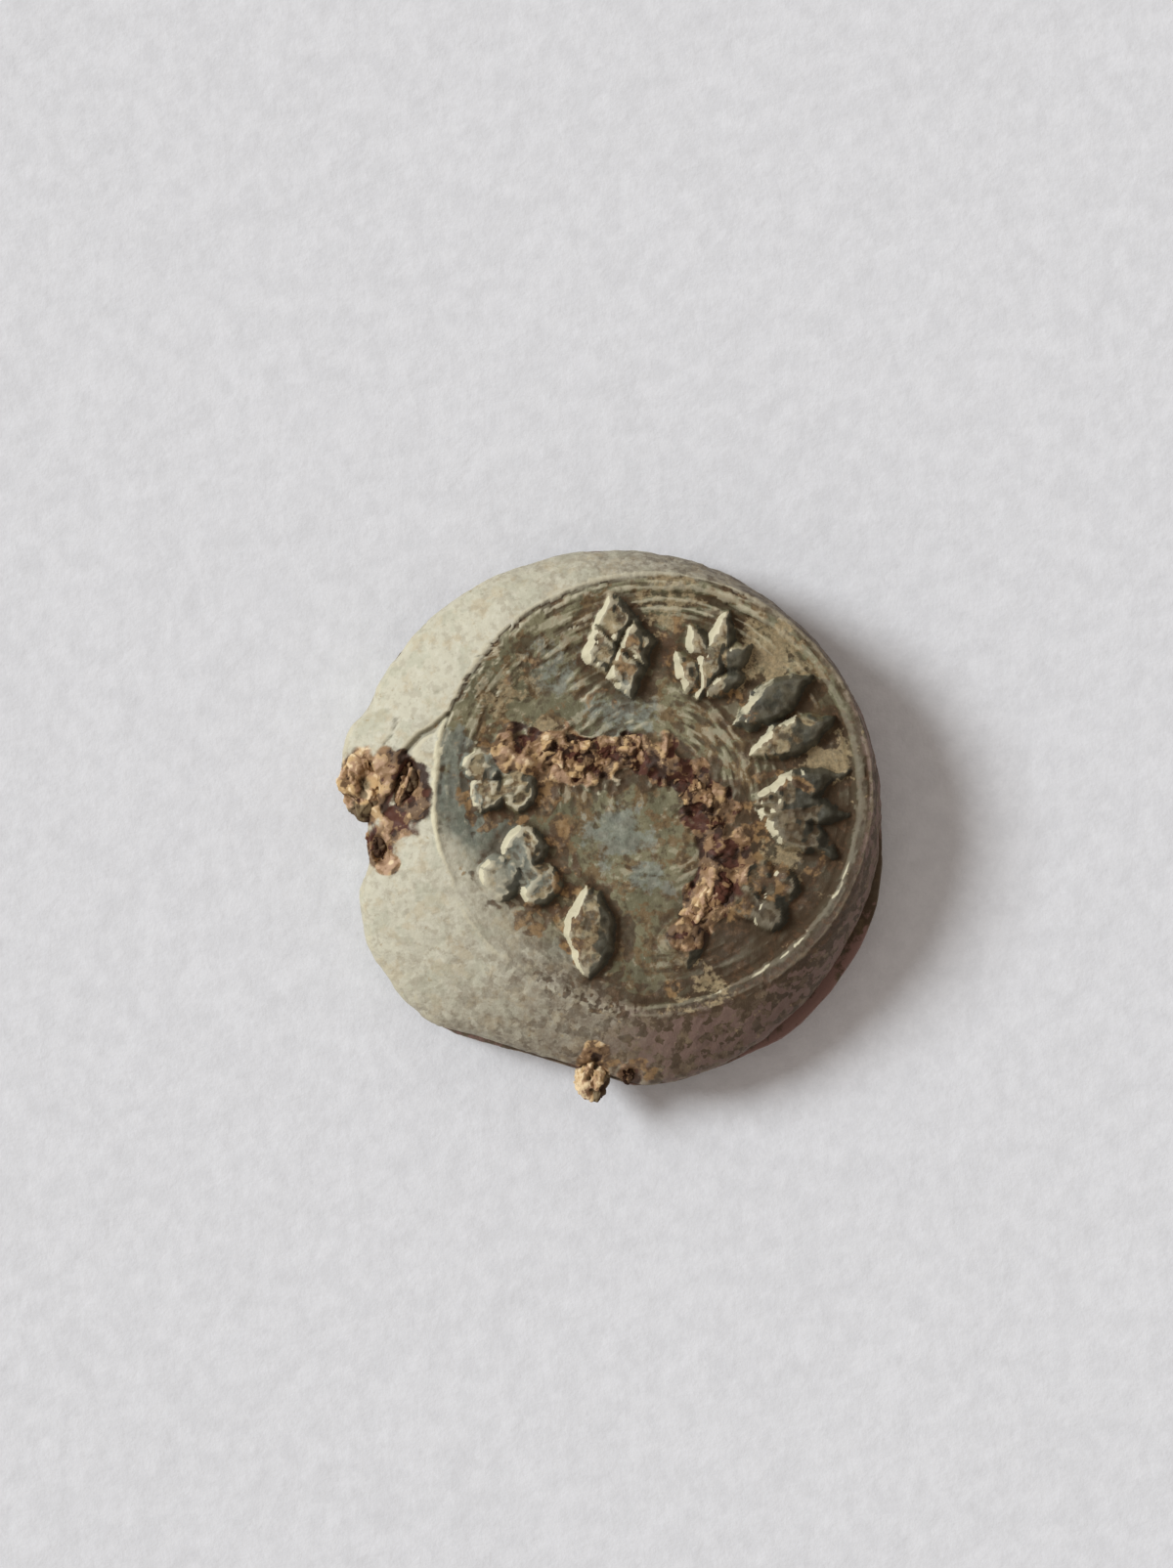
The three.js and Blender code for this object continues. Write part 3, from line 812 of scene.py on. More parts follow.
def frontShape(share, angle, wall):
    look = frontDisc
    rings = look["segments"] / 2
    east, north = np.cos(angle), np.sin(angle)
    degrees = np.degrees(angle)
    at = {name: towards(degrees, *stretch) for name, stretch in stretches.items()}
    ring = share * rings
    inner = lead["dieRadius"] + lead["ridgeWidth"]
    radius = inner * np.minimum(ring / look["fieldRings"], 1)
    u = np.clip((ring - look["fieldRings"]) / (rings - look["fieldRings"]), 0, 1)
    out = 0.6 * u + 0.4 * np.sin(u * math.pi / 2)  # the rings lie closer near the rim

    rim = wornRim(degrees, rimBulges, lead["frontFlat"], look)
    x = mixed(out, lead["dieX"] + radius * east, rim * east)
    y = mixed(out, lead["dieY"] + radius * north, rim * north)

    # flank, from the ridge out to a rounded rim
    first, second = look["flankBow"]
    turnDown = np.clip((out - look["shoulderAt"]) / (1 - look["shoulderAt"]), 0, 1)
    drop = first * out + second * out**2
    last = lead["ridge"] - lead["rimTop"] - first - second
    drop += last * (1 - np.sqrt(1 - turnDown**2))
    z = lead["ridge"] - drop

    # struck field: groove, border and turned rings
    edged = 1 - at["ungrooved"]
    inField = out <= 0
    flat = stacked(x, y, 0 * x)
    chips = brokenGrains(flat, look["chipped"], 14)[1] - 0.5
    wander = waves(flat, look["wander"]) + mixed(at["jagged"], *look["chipReach"]) * chips
    depth = lead["dieRadius"] - radius + wander
    uneven = 0.25 + 0.75 * smooth(swells(flat, 1.3, 15), -0.3, 0.2)
    border, run = look["border"] * edged, look["stepRun"]
    groove = hump(depth, look["grooveHalf"]) * edged * uneven * (1 - 0.8 * at["bright"])
    drop = look["borderDrop"] * edged
    sharp = drop * smooth(depth, -0.1, border + 0.01)
    sharp += (lead["fieldDepth"] - drop) * smooth(depth, border + 0.02, border + run)
    soft = lead["fieldDepth"] * smooth(depth, -0.2, look["softRun"])
    z = z - (mixed(at["gentle"], sharp, soft) + look["grooveDepth"] * groove) * inField
    ringed = 0.12 + 0.88 * at["ringed"]
    for i in range(look["ringCount"]):
        middle = look["border"] + run + (i + look["firstRing"]) * look["ringPitch"]
        swell = hump(depth - middle, look["ringHalf"])
        z += look["ringHeight"] * ringed * uneven * swell * inField

    # broken turned lines
    wide, long = look["dash"]
    reach = 6 / long  # so that a dash has its length 6 mm from the die's axis
    about = np.hypot(x - lead["dieX"], y - lead["dieY"])
    around = stacked(about / wide, reach * east + 0.2 * x, reach * north + 0.2 * y)
    dashes = swells(around, 1, 13) * 1.6
    dashes *= 0.15 + 0.85 * smooth(swells(flat, 1.8, 12), -0.3, 0.3)
    within = (0.6 + 0.4 * edged) * smooth(radius, 0.5, 2.0)
    onFlank = 0.5 * at["scratched"] * (out < look["shoulderAt"])
    dashes *= np.where(inField, within, onFlank) * (wall == 0)
    z += look["dashHeight"] * dashes

    # burr at the left, painted highlight on the crest and a darker band at the lower right, and
    # torn ridge at the bottom
    lip = at["lipped"] * inField
    z += look["lip"] * lip * stripe(depth, "lip")
    crest = hump(depth - border, look["crestHalf"]) * at["bright"]
    crest *= smooth(swells(flat, 0.6, 16), -0.2, 0.2) * inField
    crest = np.maximum(crest, lip * stripe(depth, "lipLight"))
    foot = at["grimy"] * smooth(swells(flat, 0.5, 17), -0.4, 0.1) * stripe(depth, "grime")
    past = lead["dieRadius"] - about + wander
    outside = 0.7 * stripe(past, "outside") * at["bright"]
    torn = smooth(swells(flat, 0.5, 18) + 0.7 * swells(flat, 0.2, 19), 0.1, 0.35)
    torn *= 0.9 * at["torn"] * stripe(past, "torn") * (wall == 0)
    z -= look["tornDepth"] * torn
    # dark in the groove, at the border's foot, on the torn ridge and outside the crest: dirt, with
    # painted shade in the groove
    dirt = np.maximum(np.maximum(groove * 0.5, foot) * inField, np.maximum(torn, outside))
    traces = {"dashes": dashes, "crest": crest, "dirt": dirt, "depth": depth, "soft": at["faded"]}
    return stacked(x, y, z), out, traces


def buildFrontDisc():
    look = frontDisc
    mesh, share, angle, wall, centre = startDisc("struckFront", look, look["wallRings"], False)
    places, out, traces = frontShape(share, angle, wall)
    x, y = places[:, 0].copy(), places[:, 1].copy()
    flat = stacked(x, y, 0 * x)
    face = wall == 0
    onField = (out <= 0) & face

    # marks, with worn and dented tops
    worn = swells(flat, 0.8, 21) + 0.6 * swells(flat, 0.35, 22)
    pulled = [markRing["warp"] * swells(flat, 1.1, seed) for seed in (25, 26)]
    raised, inside, flank = markRelief(x, y, worn, pulled)
    dented = smooth(swells(flat, 0.9, 23), 0.0, 0.45) + 0.5 * smooth(swells(flat, 0.4, 24), 0, 0.4)
    shallow = np.clip((places[:, 2] - field) / lead["fieldDepth"], 0, 1)
    raised *= (1 - markRing["dent"] * dented) * (1 - 0.5 * shallow) * onField
    chips = 0.06 * swells(flat, 0.42, 27) + 0.03 * swells(flat, 0.2, 28)
    places[:, 2] += raised + chips * smooth(raised, 0.1, 0.4)
    past = np.maximum(places[:, 2] - field - markRing["limit"], 0) * (raised > 0)
    places[:, 2] -= markRing["pressed"] * past
    # painted shadow, with soil, behind each mark on the side away from the light
    leeX, leeY = markRing["lee"]
    behind = markRelief(x - leeX, y - leeY, worn, pulled)[1]
    lee = smooth(behind, -0.15, 0.2) * (inside < 0.1)

    # rust round the hook and the lumps, with crumbs
    route = alongLine(longLine, np.arange(hook["from"], hook["to"], 0.1))
    away = distanceTo(route, x, y) + 0.8 * swells(flat, 1.1, 31) + 0.4 * swells(flat, 0.4, 32)
    # painted shadow, with soil, beside the hook on the side away from the light
    behind = distanceTo(route + np.array(look["leeOfHook"]), x, y)
    leeOfHook = 1 - smooth(behind + 0.5 * worn, 0.6, 1.2)
    rusted = (1 - smooth(away, hook["halfWidth"] - hook["edge"], hook["halfWidth"])) * onField
    near = rusted > 0
    rise, tone = np.zeros_like(x), np.zeros_like(x)
    rise[near], tone[near] = crumbs(flat[near], 6)
    around = []
    for lump in lumps.values():
        around.append(lumpMiddle(lump)[:2] + lump["radii"][:2] + (lump["halo"], 0))
    clump, swelling = np.zeros_like(x), np.zeros_like(x)
    weight, tint = np.full_like(x, 1e-6), np.zeros_like(x)
    ragged = 0.4 * swells(flat, 0.8, 33) + 0.2 * swells(flat, 0.35, 34)
    for *oval, lift, swell in around + clumpPlaces:
        cover = (1 - smooth(reachOf(x, y, *oval) + ragged, 0.9, 1.45)) * face
        weight += cover
        tint += cover * lift
        clump = np.maximum(clump, cover)
        swelling = np.maximum(swelling, swell * cover)
    crusty = clump > 0
    rise[crusty], tone[crusty] = crumbs(flat[crusty], 12)
    tone += tint / weight
    proud = np.full_like(x, hook["rise"])
    spans = list(bursts.values())
    for before, after in zip(spans, spans[1:]):
        gap = alongLine(longLine, np.linspace(before[1], after[0], 5))
        proud += hook["bridge"] * (1 - smooth(distanceTo(gap, x, y), 0.3, 0.8))
    places[:, 2] += rusted * (proud + rise) * near
    places[:, 2] += clump * (0.6 * np.minimum(rise, 0.15) + swelling)

    # soil and rust that stain the lead and lie on it as crumbs
    mottled = swells(flat, 0.6, 41) + 0.6 * swells(flat, 0.25, 42)
    stained = coverOf(x, y, stains, 0, 0.55, 1.25) * smooth(mottled, -0.5, 0.15)
    crumbly = (stained > 0.1) & onField
    lift = np.zeros_like(x)
    lift[crumbly] = 0.05 + 0.35 * crumbs(flat[crumbly], 9)[0]
    places[:, 2] += np.clip(lift, 0, 0.2) * stained

    # lead pressed down round the lumps of rust, and cracked
    split = np.zeros_like(x)
    for lump in lumps.values():
        oval = lumpMiddle(lump)[:2] + lump["radii"][:2] + (lump["tilt"],)
        sunk = (1 - smooth(reachOf(x, y, *oval) + 0.24 * worn, 0.55, 0.9)) * face * (out > 0)
        places[:, 2] = mixed(sunk, places[:, 2], np.minimum(places[:, 2], lump["bed"]))
    for crack in cracks:
        corners = np.array(crack["points"])
        steps = np.linspace(0, len(corners) - 1, 60)
        line = between(corners, np.arange(len(corners)), steps)
        cut = hump(distanceTo(line, x, y) + 0.05 * worn, crack["half"]) * face
        places[:, 2] -= crack["depth"] * cut
        split = np.maximum(split, cut)

    # uneven skin of old lead
    normals = normalsOf(mesh, places)
    size, height = look["skinGrain"]
    skin = leadSkin(places, look) + height * (brokenGrains(places, size, 56)[1] - 0.5)
    places += normals * np.where(face, skin, skin * 0.6)[:, None]

    # wall down to the seam, drawn in a little where the discs meet
    down = np.where(face, 0, wall / look["wallRings"])
    fall = lead["rimTop"] - lead["seam"]
    edge = lead["rimTop"] - fall * down + 0.02 * swells(flat, 0.8, 55)
    places[:, 2] = np.where(face, places[:, 2], edge)
    tuck = look["tuck"] * smooth(down, 0.5, 1.0)
    places[:, :2] -= stacked(np.cos(angle) * tuck, np.sin(angle) * tuck)
    places[wall >= look["wallRings"], 2] = lead["seam"]
    places[centre, :2] = 0

    # masks for the finish
    normals = normalsOf(mesh, places)
    leaning = leaningOf(normals)
    side = look["segments"] + 1
    bent, broad = (bending(places, normals, side, rounds) for rounds in (6, 40))
    facing = math.radians(look["paleAndLitSide"])
    toward = (math.cos(facing) * x + math.sin(facing) * y) / np.maximum(np.hypot(x, y), 1)
    soft = traces["soft"]
    struck = np.clip((traces["depth"] + 0.15 - 0.9 * soft) / (0.25 + 1.6 * soft), 0, 1)
    # painted highlight on the sides of marks that face the light, and on the border's crest
    lit = smooth(leaning, 0.3, 0.55) * smooth(raised, 0.1, 0.25) * (1 - smooth(inside, 0.35, 0.6))
    lit *= smooth(away, 1.2, 2.2) * (0.55 + 0.45 * smooth(flank, -0.7, -0.2))
    # painted shade on the sides of marks that face away from the light, and on their far halves
    shaded = smooth(-leaning, 0.12, 0.4) * (raised > 0.06) * (1 - 0.6 * smooth(inside, 0.35, 0.65))
    farSide = smooth(-flank + 0.5 * worn, 0.3, 0.8) * smooth(raised, 0.1, 0.3)
    # soil round the foot of each mark, with painted shade there
    foot = (1 - smooth(-inside, 0.0, 0.7)) * (inside < 0.08)
    soil = np.maximum(0.5 * foot * smooth(mottled, -0.4, 0.3), lee * smooth(mottled, -0.7, 0.1))
    soil = np.maximum(soil * onField, traces["dirt"])
    masks = {
        # darker in hollows, cracks and low on the wall where the discs meet: dirt and painted
        # shade
        "crevice": np.maximum(bent / 0.045, broad / 0.14) + (down > 0.6) + split,
        "edge": -bent / 0.04,
        # paler towards the lit side: patina and painted light
        "pale": np.maximum(0.44 + 0.6 * toward, 0) + 0.12 * swells(flat, 3.2, 61),
        "struck": onField * struck,
        "raised": smooth(inside, 0.1, 0.4) * onField,
        "lit": np.maximum(lit, 0.66 * traces["crest"]),
        "shaded": np.maximum(shaded, 0.75 * farSide),
        "dirty": np.maximum(soil, 0.8 * leeOfHook * onField * (inside < 0.15)),
        # darker towards the lower right, away from the light
        "dark": smooth(0.78 * x - 0.56 * y + 1.2 * swells(flat, 1.6, 62), 3.0, 6.9),
        "lines": 0.5 + 0.6 * traces["dashes"] * onField,
        "rusted": np.maximum(rusted, 0.75 * clump),
        "crumb": tone,
        "stained": stained,
    }
    wavy = 0.5 * swells(flat, 0.9, 63)
    for name, patches in (("bare", barePatches), ("crusted", crustedPatches)):
        masks[name] = coverOf(x, y, patches, wavy, 0.3, 1.4) * onField
    finishPiece(mesh, places, masks, frontLead(), "front_disc")


# Back disc
backDisc = {
    "segments": 240,
    "wallRings": 10,
    "ledgeRings": 6,
    "ledge": 1.2,  # how far the top is followed in from the rim
    "faceShare": 0.8,  # of the grid that makes the flat face
    "flatShare": 0.9,  # of the radius that lies flat on the table
    "bevelRise": 0.9,
    "tuck": 0.08,
    "nick": 0.08,
    "nicked": 0.2,
    "nicks": [(1.9, 1, 71)],
    "skin": [(2.2, 0.04, 75), (0.7, 0.025, 76), (0.36, 0.012, 77)],
    "pits": (0.035, 0.3, 0.6),
    "thin": 0.03,  # how far the skin lies inside the smooth form
    "grooves": [3.6, 5.6, 7.6],  # rings left by the anvil, about the die's axis
    "grooveHalf": 0.3,
    "grooveDepth": 0.1,
    "dent": 0.12,
    "soiled": (318, 30),  # stretch of the edge that is stained red: its middle and spread
}


def buildBackDisc():
    look = backDisc
    skirt = look["wallRings"] + look["ledgeRings"]
    mesh, share, angle, wall, centre = startDisc("backDisc", look, skirt, True)
    east, north = np.cos(angle), np.sin(angle)
    degrees = np.degrees(angle)
    rim = wornRim(degrees, rimBulges + [backSpread], lead["backFlat"], look)

    # face, rounded edge, upright wall and the ledge on top
    face = look["faceShare"]
    turn = np.clip((share - face) / (1 - face), 0, 1)
    spread = mixed(np.sin(turn * math.pi / 2), look["flatShare"], 1)
    spread = np.where(share < face, share * look["flatShare"] / face, spread)
    z = look["bevelRise"] * (1 - np.cos(turn * math.pi / 2))
    up = np.clip(wall / look["wallRings"], 0, 1)
    z = np.where(wall > 0, mixed(up, look["bevelRise"], lead["seam"]), z)
    inward = np.clip((wall - look["wallRings"]) / look["ledgeRings"], 0, 1)
    radius = rim * spread - (look["tuck"] * smooth(up, 0.8, 1.0) + look["ledge"] * inward)
    x, y = np.where(centre, 0, radius * east), np.where(centre, 0, radius * north)
    places = stacked(x, y, z)

    # rings and dents in the face
    about = np.hypot(x - lead["dieX"], y - lead["dieY"])
    flat = stacked(x, y, 0 * x)
    under = (wall == 0) & (share < 0.85)
    drift = 0.08 * swells(flat, 1.8, 72)
    grooved = np.zeros_like(x)
    for groove in look["grooves"]:
        grooved = np.maximum(grooved, hump(about - groove + drift, look["grooveHalf"]))
    faint = smooth(swells(flat, 4.5, 73), -0.5, 0.3)
    dents = smooth(swells(flat, 2.2, 74), 0.1, 0.6)
    places[:, 2] += under * (look["grooveDepth"] * grooved * faint + look["dent"] * dents)

    # uneven skin of old lead
    normals = normalsOf(mesh, places)
    skin = (leadSkin(places, look) - look["thin"]) * (wall <= look["wallRings"])
    places += normals * skin[:, None]

    bent = bending(places, normalsOf(mesh, places), look["segments"] + 1, 6)
    lowerRight = towards(degrees, *look["soiled"]) * (share > face)
    blotch = smooth(swells(flat, 1.6, 78), -0.35, 0.25)
    masks = {
        # darker in hollows, rings and high on the wall where the discs meet: dirt and painted
        # shade
        "crevice": bent / 0.03 + 0.8 * (up > 0.85) + 0.6 * grooved * faint * under,
        "edge": -bent / 0.03,
        "pale": smooth(swells(flat, 5.0, 79) - 0.04 * x, -0.5, 0.6),
        "stained": np.maximum(lowerRight * (0.3 + 0.5 * blotch), 0.4 * blotch * (share > 0.9)),
    }
    finishPiece(mesh, places, masks, backLead(), "back_disc")


# Lumps and ridges of rust
lumpLook = {
    "flakes": 0.5,  # share of the flakes' relief
    "crumbs": 0.6,  # share of the crumbs' relief
    "swell": 0.14,  # height and size of its slow swells
    "swellSize": 1.2,
    "thin": 0.05,
}
ridgeLook = {
    "radius": 0.86,
    "proud": 0.42,  # how far it stands out of the deepest field
    "swell": 0.2,
    "swellSize": 1.1,
    "thin": 0.1,  # how far its surface lies inside the smooth form
    "around": 96,
    "along": 150,
}
wireLook = {
    "radius": 0.45,
    "rough": [(0.5, 0.03, 81), (0.22, 0.02, 82)],
    "thin": 0.03,
    "around": 24,
    "along": 420,
}


def camelCase(node):
    first, *others = node.split("_")
    return first + "".join(part.capitalize() for part in others)


def buildLump(node, look, seed, material, slot):
    bm = bmesh.new()
    bmesh.ops.create_icosphere(bm, subdivisions=6, radius=1)
    mesh = meshOf(camelCase(node), bm)
    scaled = vectorsOf(mesh.vertices, "co") * np.array(look["radii"])
    tx, ty = turned(scaled[:, 0], scaled[:, 1], -look["tilt"])
    places = stacked(tx, ty, scaled[:, 2]) + np.array(lumpMiddle(look))
    normals = normalsOf(mesh, places)
    flakeRise, flakeTone = flakes(places, look["flake"], seed)
    crumbRise, crumbTone = crumbs(places, seed)
    rise = lumpLook["flakes"] * flakeRise + lumpLook["crumbs"] * crumbRise - lumpLook["thin"]
    rise += lumpLook["swell"] * swells(places, lumpLook["swellSize"], seed + 5)
    hollow = np.zeros_like(rise)
    for dx, dy, half, depth in look["dents"]:
        near = hump(np.hypot(tx - dx, ty - dy), half, 4) * smooth(scaled[:, 2], -0.2, 0.3)
        rise -= depth * near
        hollow = np.maximum(hollow, near * (depth > 0))
    places += normals * rise[:, None]
    aim = np.array(look["darkSide"]) / np.linalg.norm(look["darkSide"])
    past = (tx * aim[0] + ty * aim[1]) / look["radii"][0] + 0.3 * swells(places, 0.6, 91)
    tone = 0.5 * (flakeTone + crumbTone) + look["paleness"]
    # crumb is paler on faces toward the light, painted light; shaded is painted shade on the dark
    # side and in the dents
    masks = {
        "crumb": tone + 0.2 * leaningOf(normalsOf(mesh, places)),
        "shaded": np.maximum(0.8 * hollow, smooth(past - look["darkFrom"], 0.0, 0.5)),
    }
    finishPiece(mesh, places, masks, material, node)


def drawnOut(look, node, line, start, end, height):
    # a ball drawn out along a line, with round ends
    bm = bmesh.new()
    bmesh.ops.create_uvsphere(bm, u_segments=look["around"], v_segments=look["along"], radius=1)
    mesh = meshOf(camelCase(node), bm)
    ball = vectorsOf(mesh.vertices, "co")
    share = np.arccos(np.clip(ball[:, 2], -1, 1)) / math.pi
    reach = mixed(share, end, start)
    cap = np.minimum(reach - start, end - reach) / look["radius"]
    full = np.sqrt(1 - (1 - np.clip(cap, 0, 1)) ** 2)
    middle = alongLine(line, reach)
    ahead = alongLine(line, reach + 0.05) - alongLine(line, reach - 0.05)
    ahead /= np.linalg.norm(ahead, axis=1)[:, None]
    ring = ball[:, :2] / np.maximum(np.linalg.norm(ball[:, :2], axis=1), 1e-9)[:, None]
    ring *= (look["radius"] * full)[:, None]
    x = middle[:, 0] - ahead[:, 1] * ring[:, 0]
    y = middle[:, 1] + ahead[:, 0] * ring[:, 0]
    return mesh, stacked(x, y, height + ring[:, 1])


def buildRidge(node, span, seed, material):
    look = ridgeLook
    height = field + look["proud"] - look["radius"]
    mesh, places = drawnOut(look, node, longLine, *span, height)
    normals = normalsOf(mesh, places)
    rise, tone = crumbs(places, seed)
    rise += look["swell"] * swells(places, look["swellSize"], seed + 3) - look["thin"]
    places += normals * rise[:, None]
    leaning = leaningOf(normalsOf(mesh, places))
    # paler on faces toward the light and darker on those away from it: painted light and shade
    masks = {"crumb": tone + 0.2 * leaning, "shaded": 0.6 * smooth(-leaning, 0.25, 0.7)}
    finishPiece(mesh, places, masks, material, node)


def buildWire(node, line, material):
    look = wireLook
    end = lengthsOf(line)[-1] - channelReach
    mesh, places = drawnOut(look, node, line, channelReach, end, lead["seam"])
    normals = normalsOf(mesh, places)
    rise = waves(places, look["rough"]) - look["thin"]
    places += normals * rise[:, None]
    masks = {"crumb": 0.4 + 8 * rise, "shaded": 0 * rise}
    finishPiece(mesh, places, masks, material, node)


# Finishes
paints = {
    "cream": (188, 183, 162),
    "soil": (94, 77, 60),
    "fieldGreen": (122, 116, 88),
    "fieldBrown": (112, 88, 56),
    "fieldOlive": (101, 97, 72),
    "blueGrey": (112, 118, 107),
    "bare": (130, 135, 124),
    "markTop": (142, 128, 98),
    "markBrown": (106, 86, 58),
    "markShade": (52, 53, 44),
    "dirt": (64, 48, 30),
    "dark": (66, 54, 38),
    "stainPale": (140, 110, 72),
    "stainDark": (82, 59, 38),
    "worn": (192, 184, 158),
    "sidelit": (204, 196, 166),
    "speck": (122, 106, 84),
    "tanEdge": (172, 152, 116),
    "redSoil": (128, 98, 90),
    "chalk": (200, 196, 178),
    "greenish": (160, 160, 138),
    "mauve": (114, 91, 82),
    "rustCream": (214, 190, 152),
    "rustTan": (184, 153, 110),
    "rustPink": (170, 138, 110),
    "rustTawny": (136, 106, 74),
    "rustBrown": (106, 82, 58),
    "rustDark": (58, 40, 28),
    "rustMaroon": (82, 48, 35),
    "rustOlive": (92, 80, 58),
    "paper": (209, 209, 211),
    "paperPale": (218, 218, 220),
}


def rustColour(finish, crumb):
    tone = crumb + (finish.grain(0.3, 3, 0.6) - 0.5) * 0.5 + (finish.flecks(0.28) - 0.5) * 0.3
    hue = finish.spots((0.8, 3, 0.5, 0.3), 0.44, 0.56)
    return finish.coats(finish.blend(hue, "rustDark", "rustMaroon"), [
        (finish.band(tone, 0.12, 0.26), finish.blend(hue, "rustBrown", "rustTawny")),
        (finish.band(tone, 0.46, 0.64), finish.blend(hue, "rustTan", "rustPink")),
        (finish.band(tone, 0.78, 1.0), "rustCream"),
    ])


def frontLead():
    finish = Finish("frontLead")
    fine = finish.grain(0.15, 4, 0.75)
    mottle = finish.grain(0.7, 4, 0.6, 0.11)
    patches = finish.grain(0.34, 4, 0.6, 0.19)
    flecks = finish.flecks(0.36)
    spread = mottle + patches - 1
    pale, struck, raised = finish.mask("pale"), finish.mask("struck"), finish.mask("raised")

    # flank, paler towards the lit side and darker away from it: patina with painted light and
    # shade
    tone = pale + (mottle - 0.5) * 0.6 + (fine - 0.5) * 0.4 + (flecks - 0.5) * 0.2
    mauve = finish.band(flecks + (mottle - 0.5), 0.45, 0.6) * (0.85 - pale)
    grime = 1 - finish.band(flecks + (patches - 0.5) * 1.5, 0.3, 0.45)
    flank = finish.coats(finish.blend(finish.band(tone, 0.0, 1.0), "soil", "cream"), [
        (finish.spots((0.4, 3, 0.6, 0.37), 0.5, 0.6) * (0.5 - pale * 0.25), "speck"),
        (finish.spots((0.45, 3, 0.6, 0.47), 0.54, 0.62) * pale * 0.35, "chalk"),
        (finish.spots((0.9, 4, 0.65, 0.41), 0.52, 0.62) * (0.1 + pale * 0.25), "tanEdge"),
        (finish.spots((1.2, 4, 0.65, 0.43), 0.5, 0.6) * pale * 0.4, "greenish"),
        (mauve * finish.mask("dark"), "mauve"),
        # grime, heavier on the side away from the light: dirt and painted shade
        (grime * (0.75 - pale), "dirt"),
    ])

    # struck field and the tops of its marks
    ragged = mottle + (flecks - 0.5) * 0.14
    scuffs = finish.grain(0.5, 4, 0.6, 0.31) + (flecks - 0.5) * 0.1
    lines = finish.mask("lines") + (patches - 0.5) * 1.1
    top = finish.coats(finish.blend(finish.band(ragged, 0.46, 0.54), "markTop", "markBrown"), [
        ((1 - finish.band(scuffs, 0.4, 0.5)) * 0.55, "markShade"),
        (finish.band(scuffs, 0.53, 0.6) * 0.4, "tanEdge"),
    ])
    bareLead = finish.blend(finish.band(patches, 0.4, 0.6), "blueGrey", "bare")
    broad = finish.spots((2.4, 3, 0.5, 0.23), 0.42, 0.58)
    ground = finish.coats(finish.blend(broad, "fieldGreen", "fieldOlive"), [
        (finish.band(ragged, 0.48, 0.56) * 0.8, "fieldBrown"),
        ((1 - finish.band(lines, 0.3, 0.5)) * 0.65, "dirt"),
        (finish.band(lines, 0.58, 0.72) * 0.36, "worn"),
        (raised, top),
        (finish.ragged("bare", spread * 1.4, 0.27, 0.62) * 0.72, bareLead),
        (finish.mask("dark") * 0.84, "dark"),
    ])

    # dirt and painted shade, crust, wear, stains, painted highlights and rust over both
    # dark in hollows: dirt and painted shade
    dirty = finish.ragged("crevice", (mottle - 0.5) * 0.7, 0.15, 0.75)
    soil = finish.blend(finish.band(patches, 0.5, 0.6), "dirt", "stainDark")
    crusted = finish.ragged("crusted", spread * 1.8, 0.35, 0.65) * (1 - raised)
    crust = finish.blend(finish.band(fine, 0.4, 0.6), "markTop", "tanEdge")
    # wear on edges, heavier on the lit side: wear and painted light
    wear = finish.ragged("edge", (fine - 0.5) * 0.5, 0.25, 0.85)
    paler = finish.band(mottle + (patches - 0.5), 0.46, 0.66)
    rusted = finish.ragged("rusted", (fine - 0.5) * 0.5, 0.3, 0.7)
    colour = finish.coats(finish.blend(struck, flank, ground), [
        (dirty * (0.25 + struck * 0.4), "dirt"),
        # painted shadow and soil behind the marks and the hook
        (finish.ragged("dirty", spread * 1.1, 0.25, 0.55) * 0.8, soil),
        (crusted * 0.7, crust),
        (wear * (0.15 + pale * 0.6), "worn"),
        # painted shade on the marks' sides and halves away from the light
        (finish.ragged("shaded", (patches - 0.5) * 0.6, 0.3, 0.6) * 0.8, "markShade"),
        (finish.ragged("stained", spread * 1.2, 0.3, 0.6) * 0.8,
         finish.blend(paler, "stainDark", "stainPale")),
        # painted highlight on the marks' sides that face the light and on the crest
        (finish.ragged("lit", (mottle - 0.5) * 0.7, 0.35, 0.6) * 0.85, "sidelit"),
        (rusted, rustColour(finish, finish.mask("crumb"))),
    ])
    height = fine * 0.6 + finish.grain(0.07, 2, 0.6, 0.5) * 0.4
    return finish.shade(colour, 0.62 + dirty * 0.25, finish.bump(height, 0.05, 0.8), 0.35)


def backLead():
    finish = Finish("backLead")
    fine = finish.grain(0.16, 4, 0.7)
    mottle = finish.grain(0.8, 4, 0.6, 0.11)
    patches = finish.grain(0.4, 4, 0.6, 0.37)
    spread = mottle + patches - 1
    mixture = (mottle - 0.5) * 0.8 + (patches - 0.5) * 0.5 + (finish.flecks(0.4) - 0.5) * 0.2
    # dark in hollows: dirt and painted shade
    dirty = finish.ragged("crevice", spread * 0.9, 0.15, 0.8)
    pale = finish.ragged("pale", mixture, 0.0, 1.0)
    colour = finish.coats(finish.blend(pale, "soil", "cream"), [
        (finish.spots((2.2, 4, 0.6, 0.29), 0.5, 0.58) * 0.5, "blueGrey"),
        (finish.spots((0.9, 4, 0.65, 0.41), 0.52, 0.6) * 0.35, "tanEdge"),
        (dirty * 0.8, "dirt"),
        (finish.ragged("edge", (fine - 0.5) * 0.5, 0.25, 0.85) * 0.5, "worn"),
        (finish.ragged("stained", spread * 1.4, 0.3, 0.6) * 0.85, "redSoil"),
    ])
    height = fine * 0.5 + finish.grain(0.07, 2, 0.6, 0.5) * 0.5
    return finish.shade(colour, 0.66 + dirty * 0.22, finish.bump(height, 0.035, 0.8), 0.35)


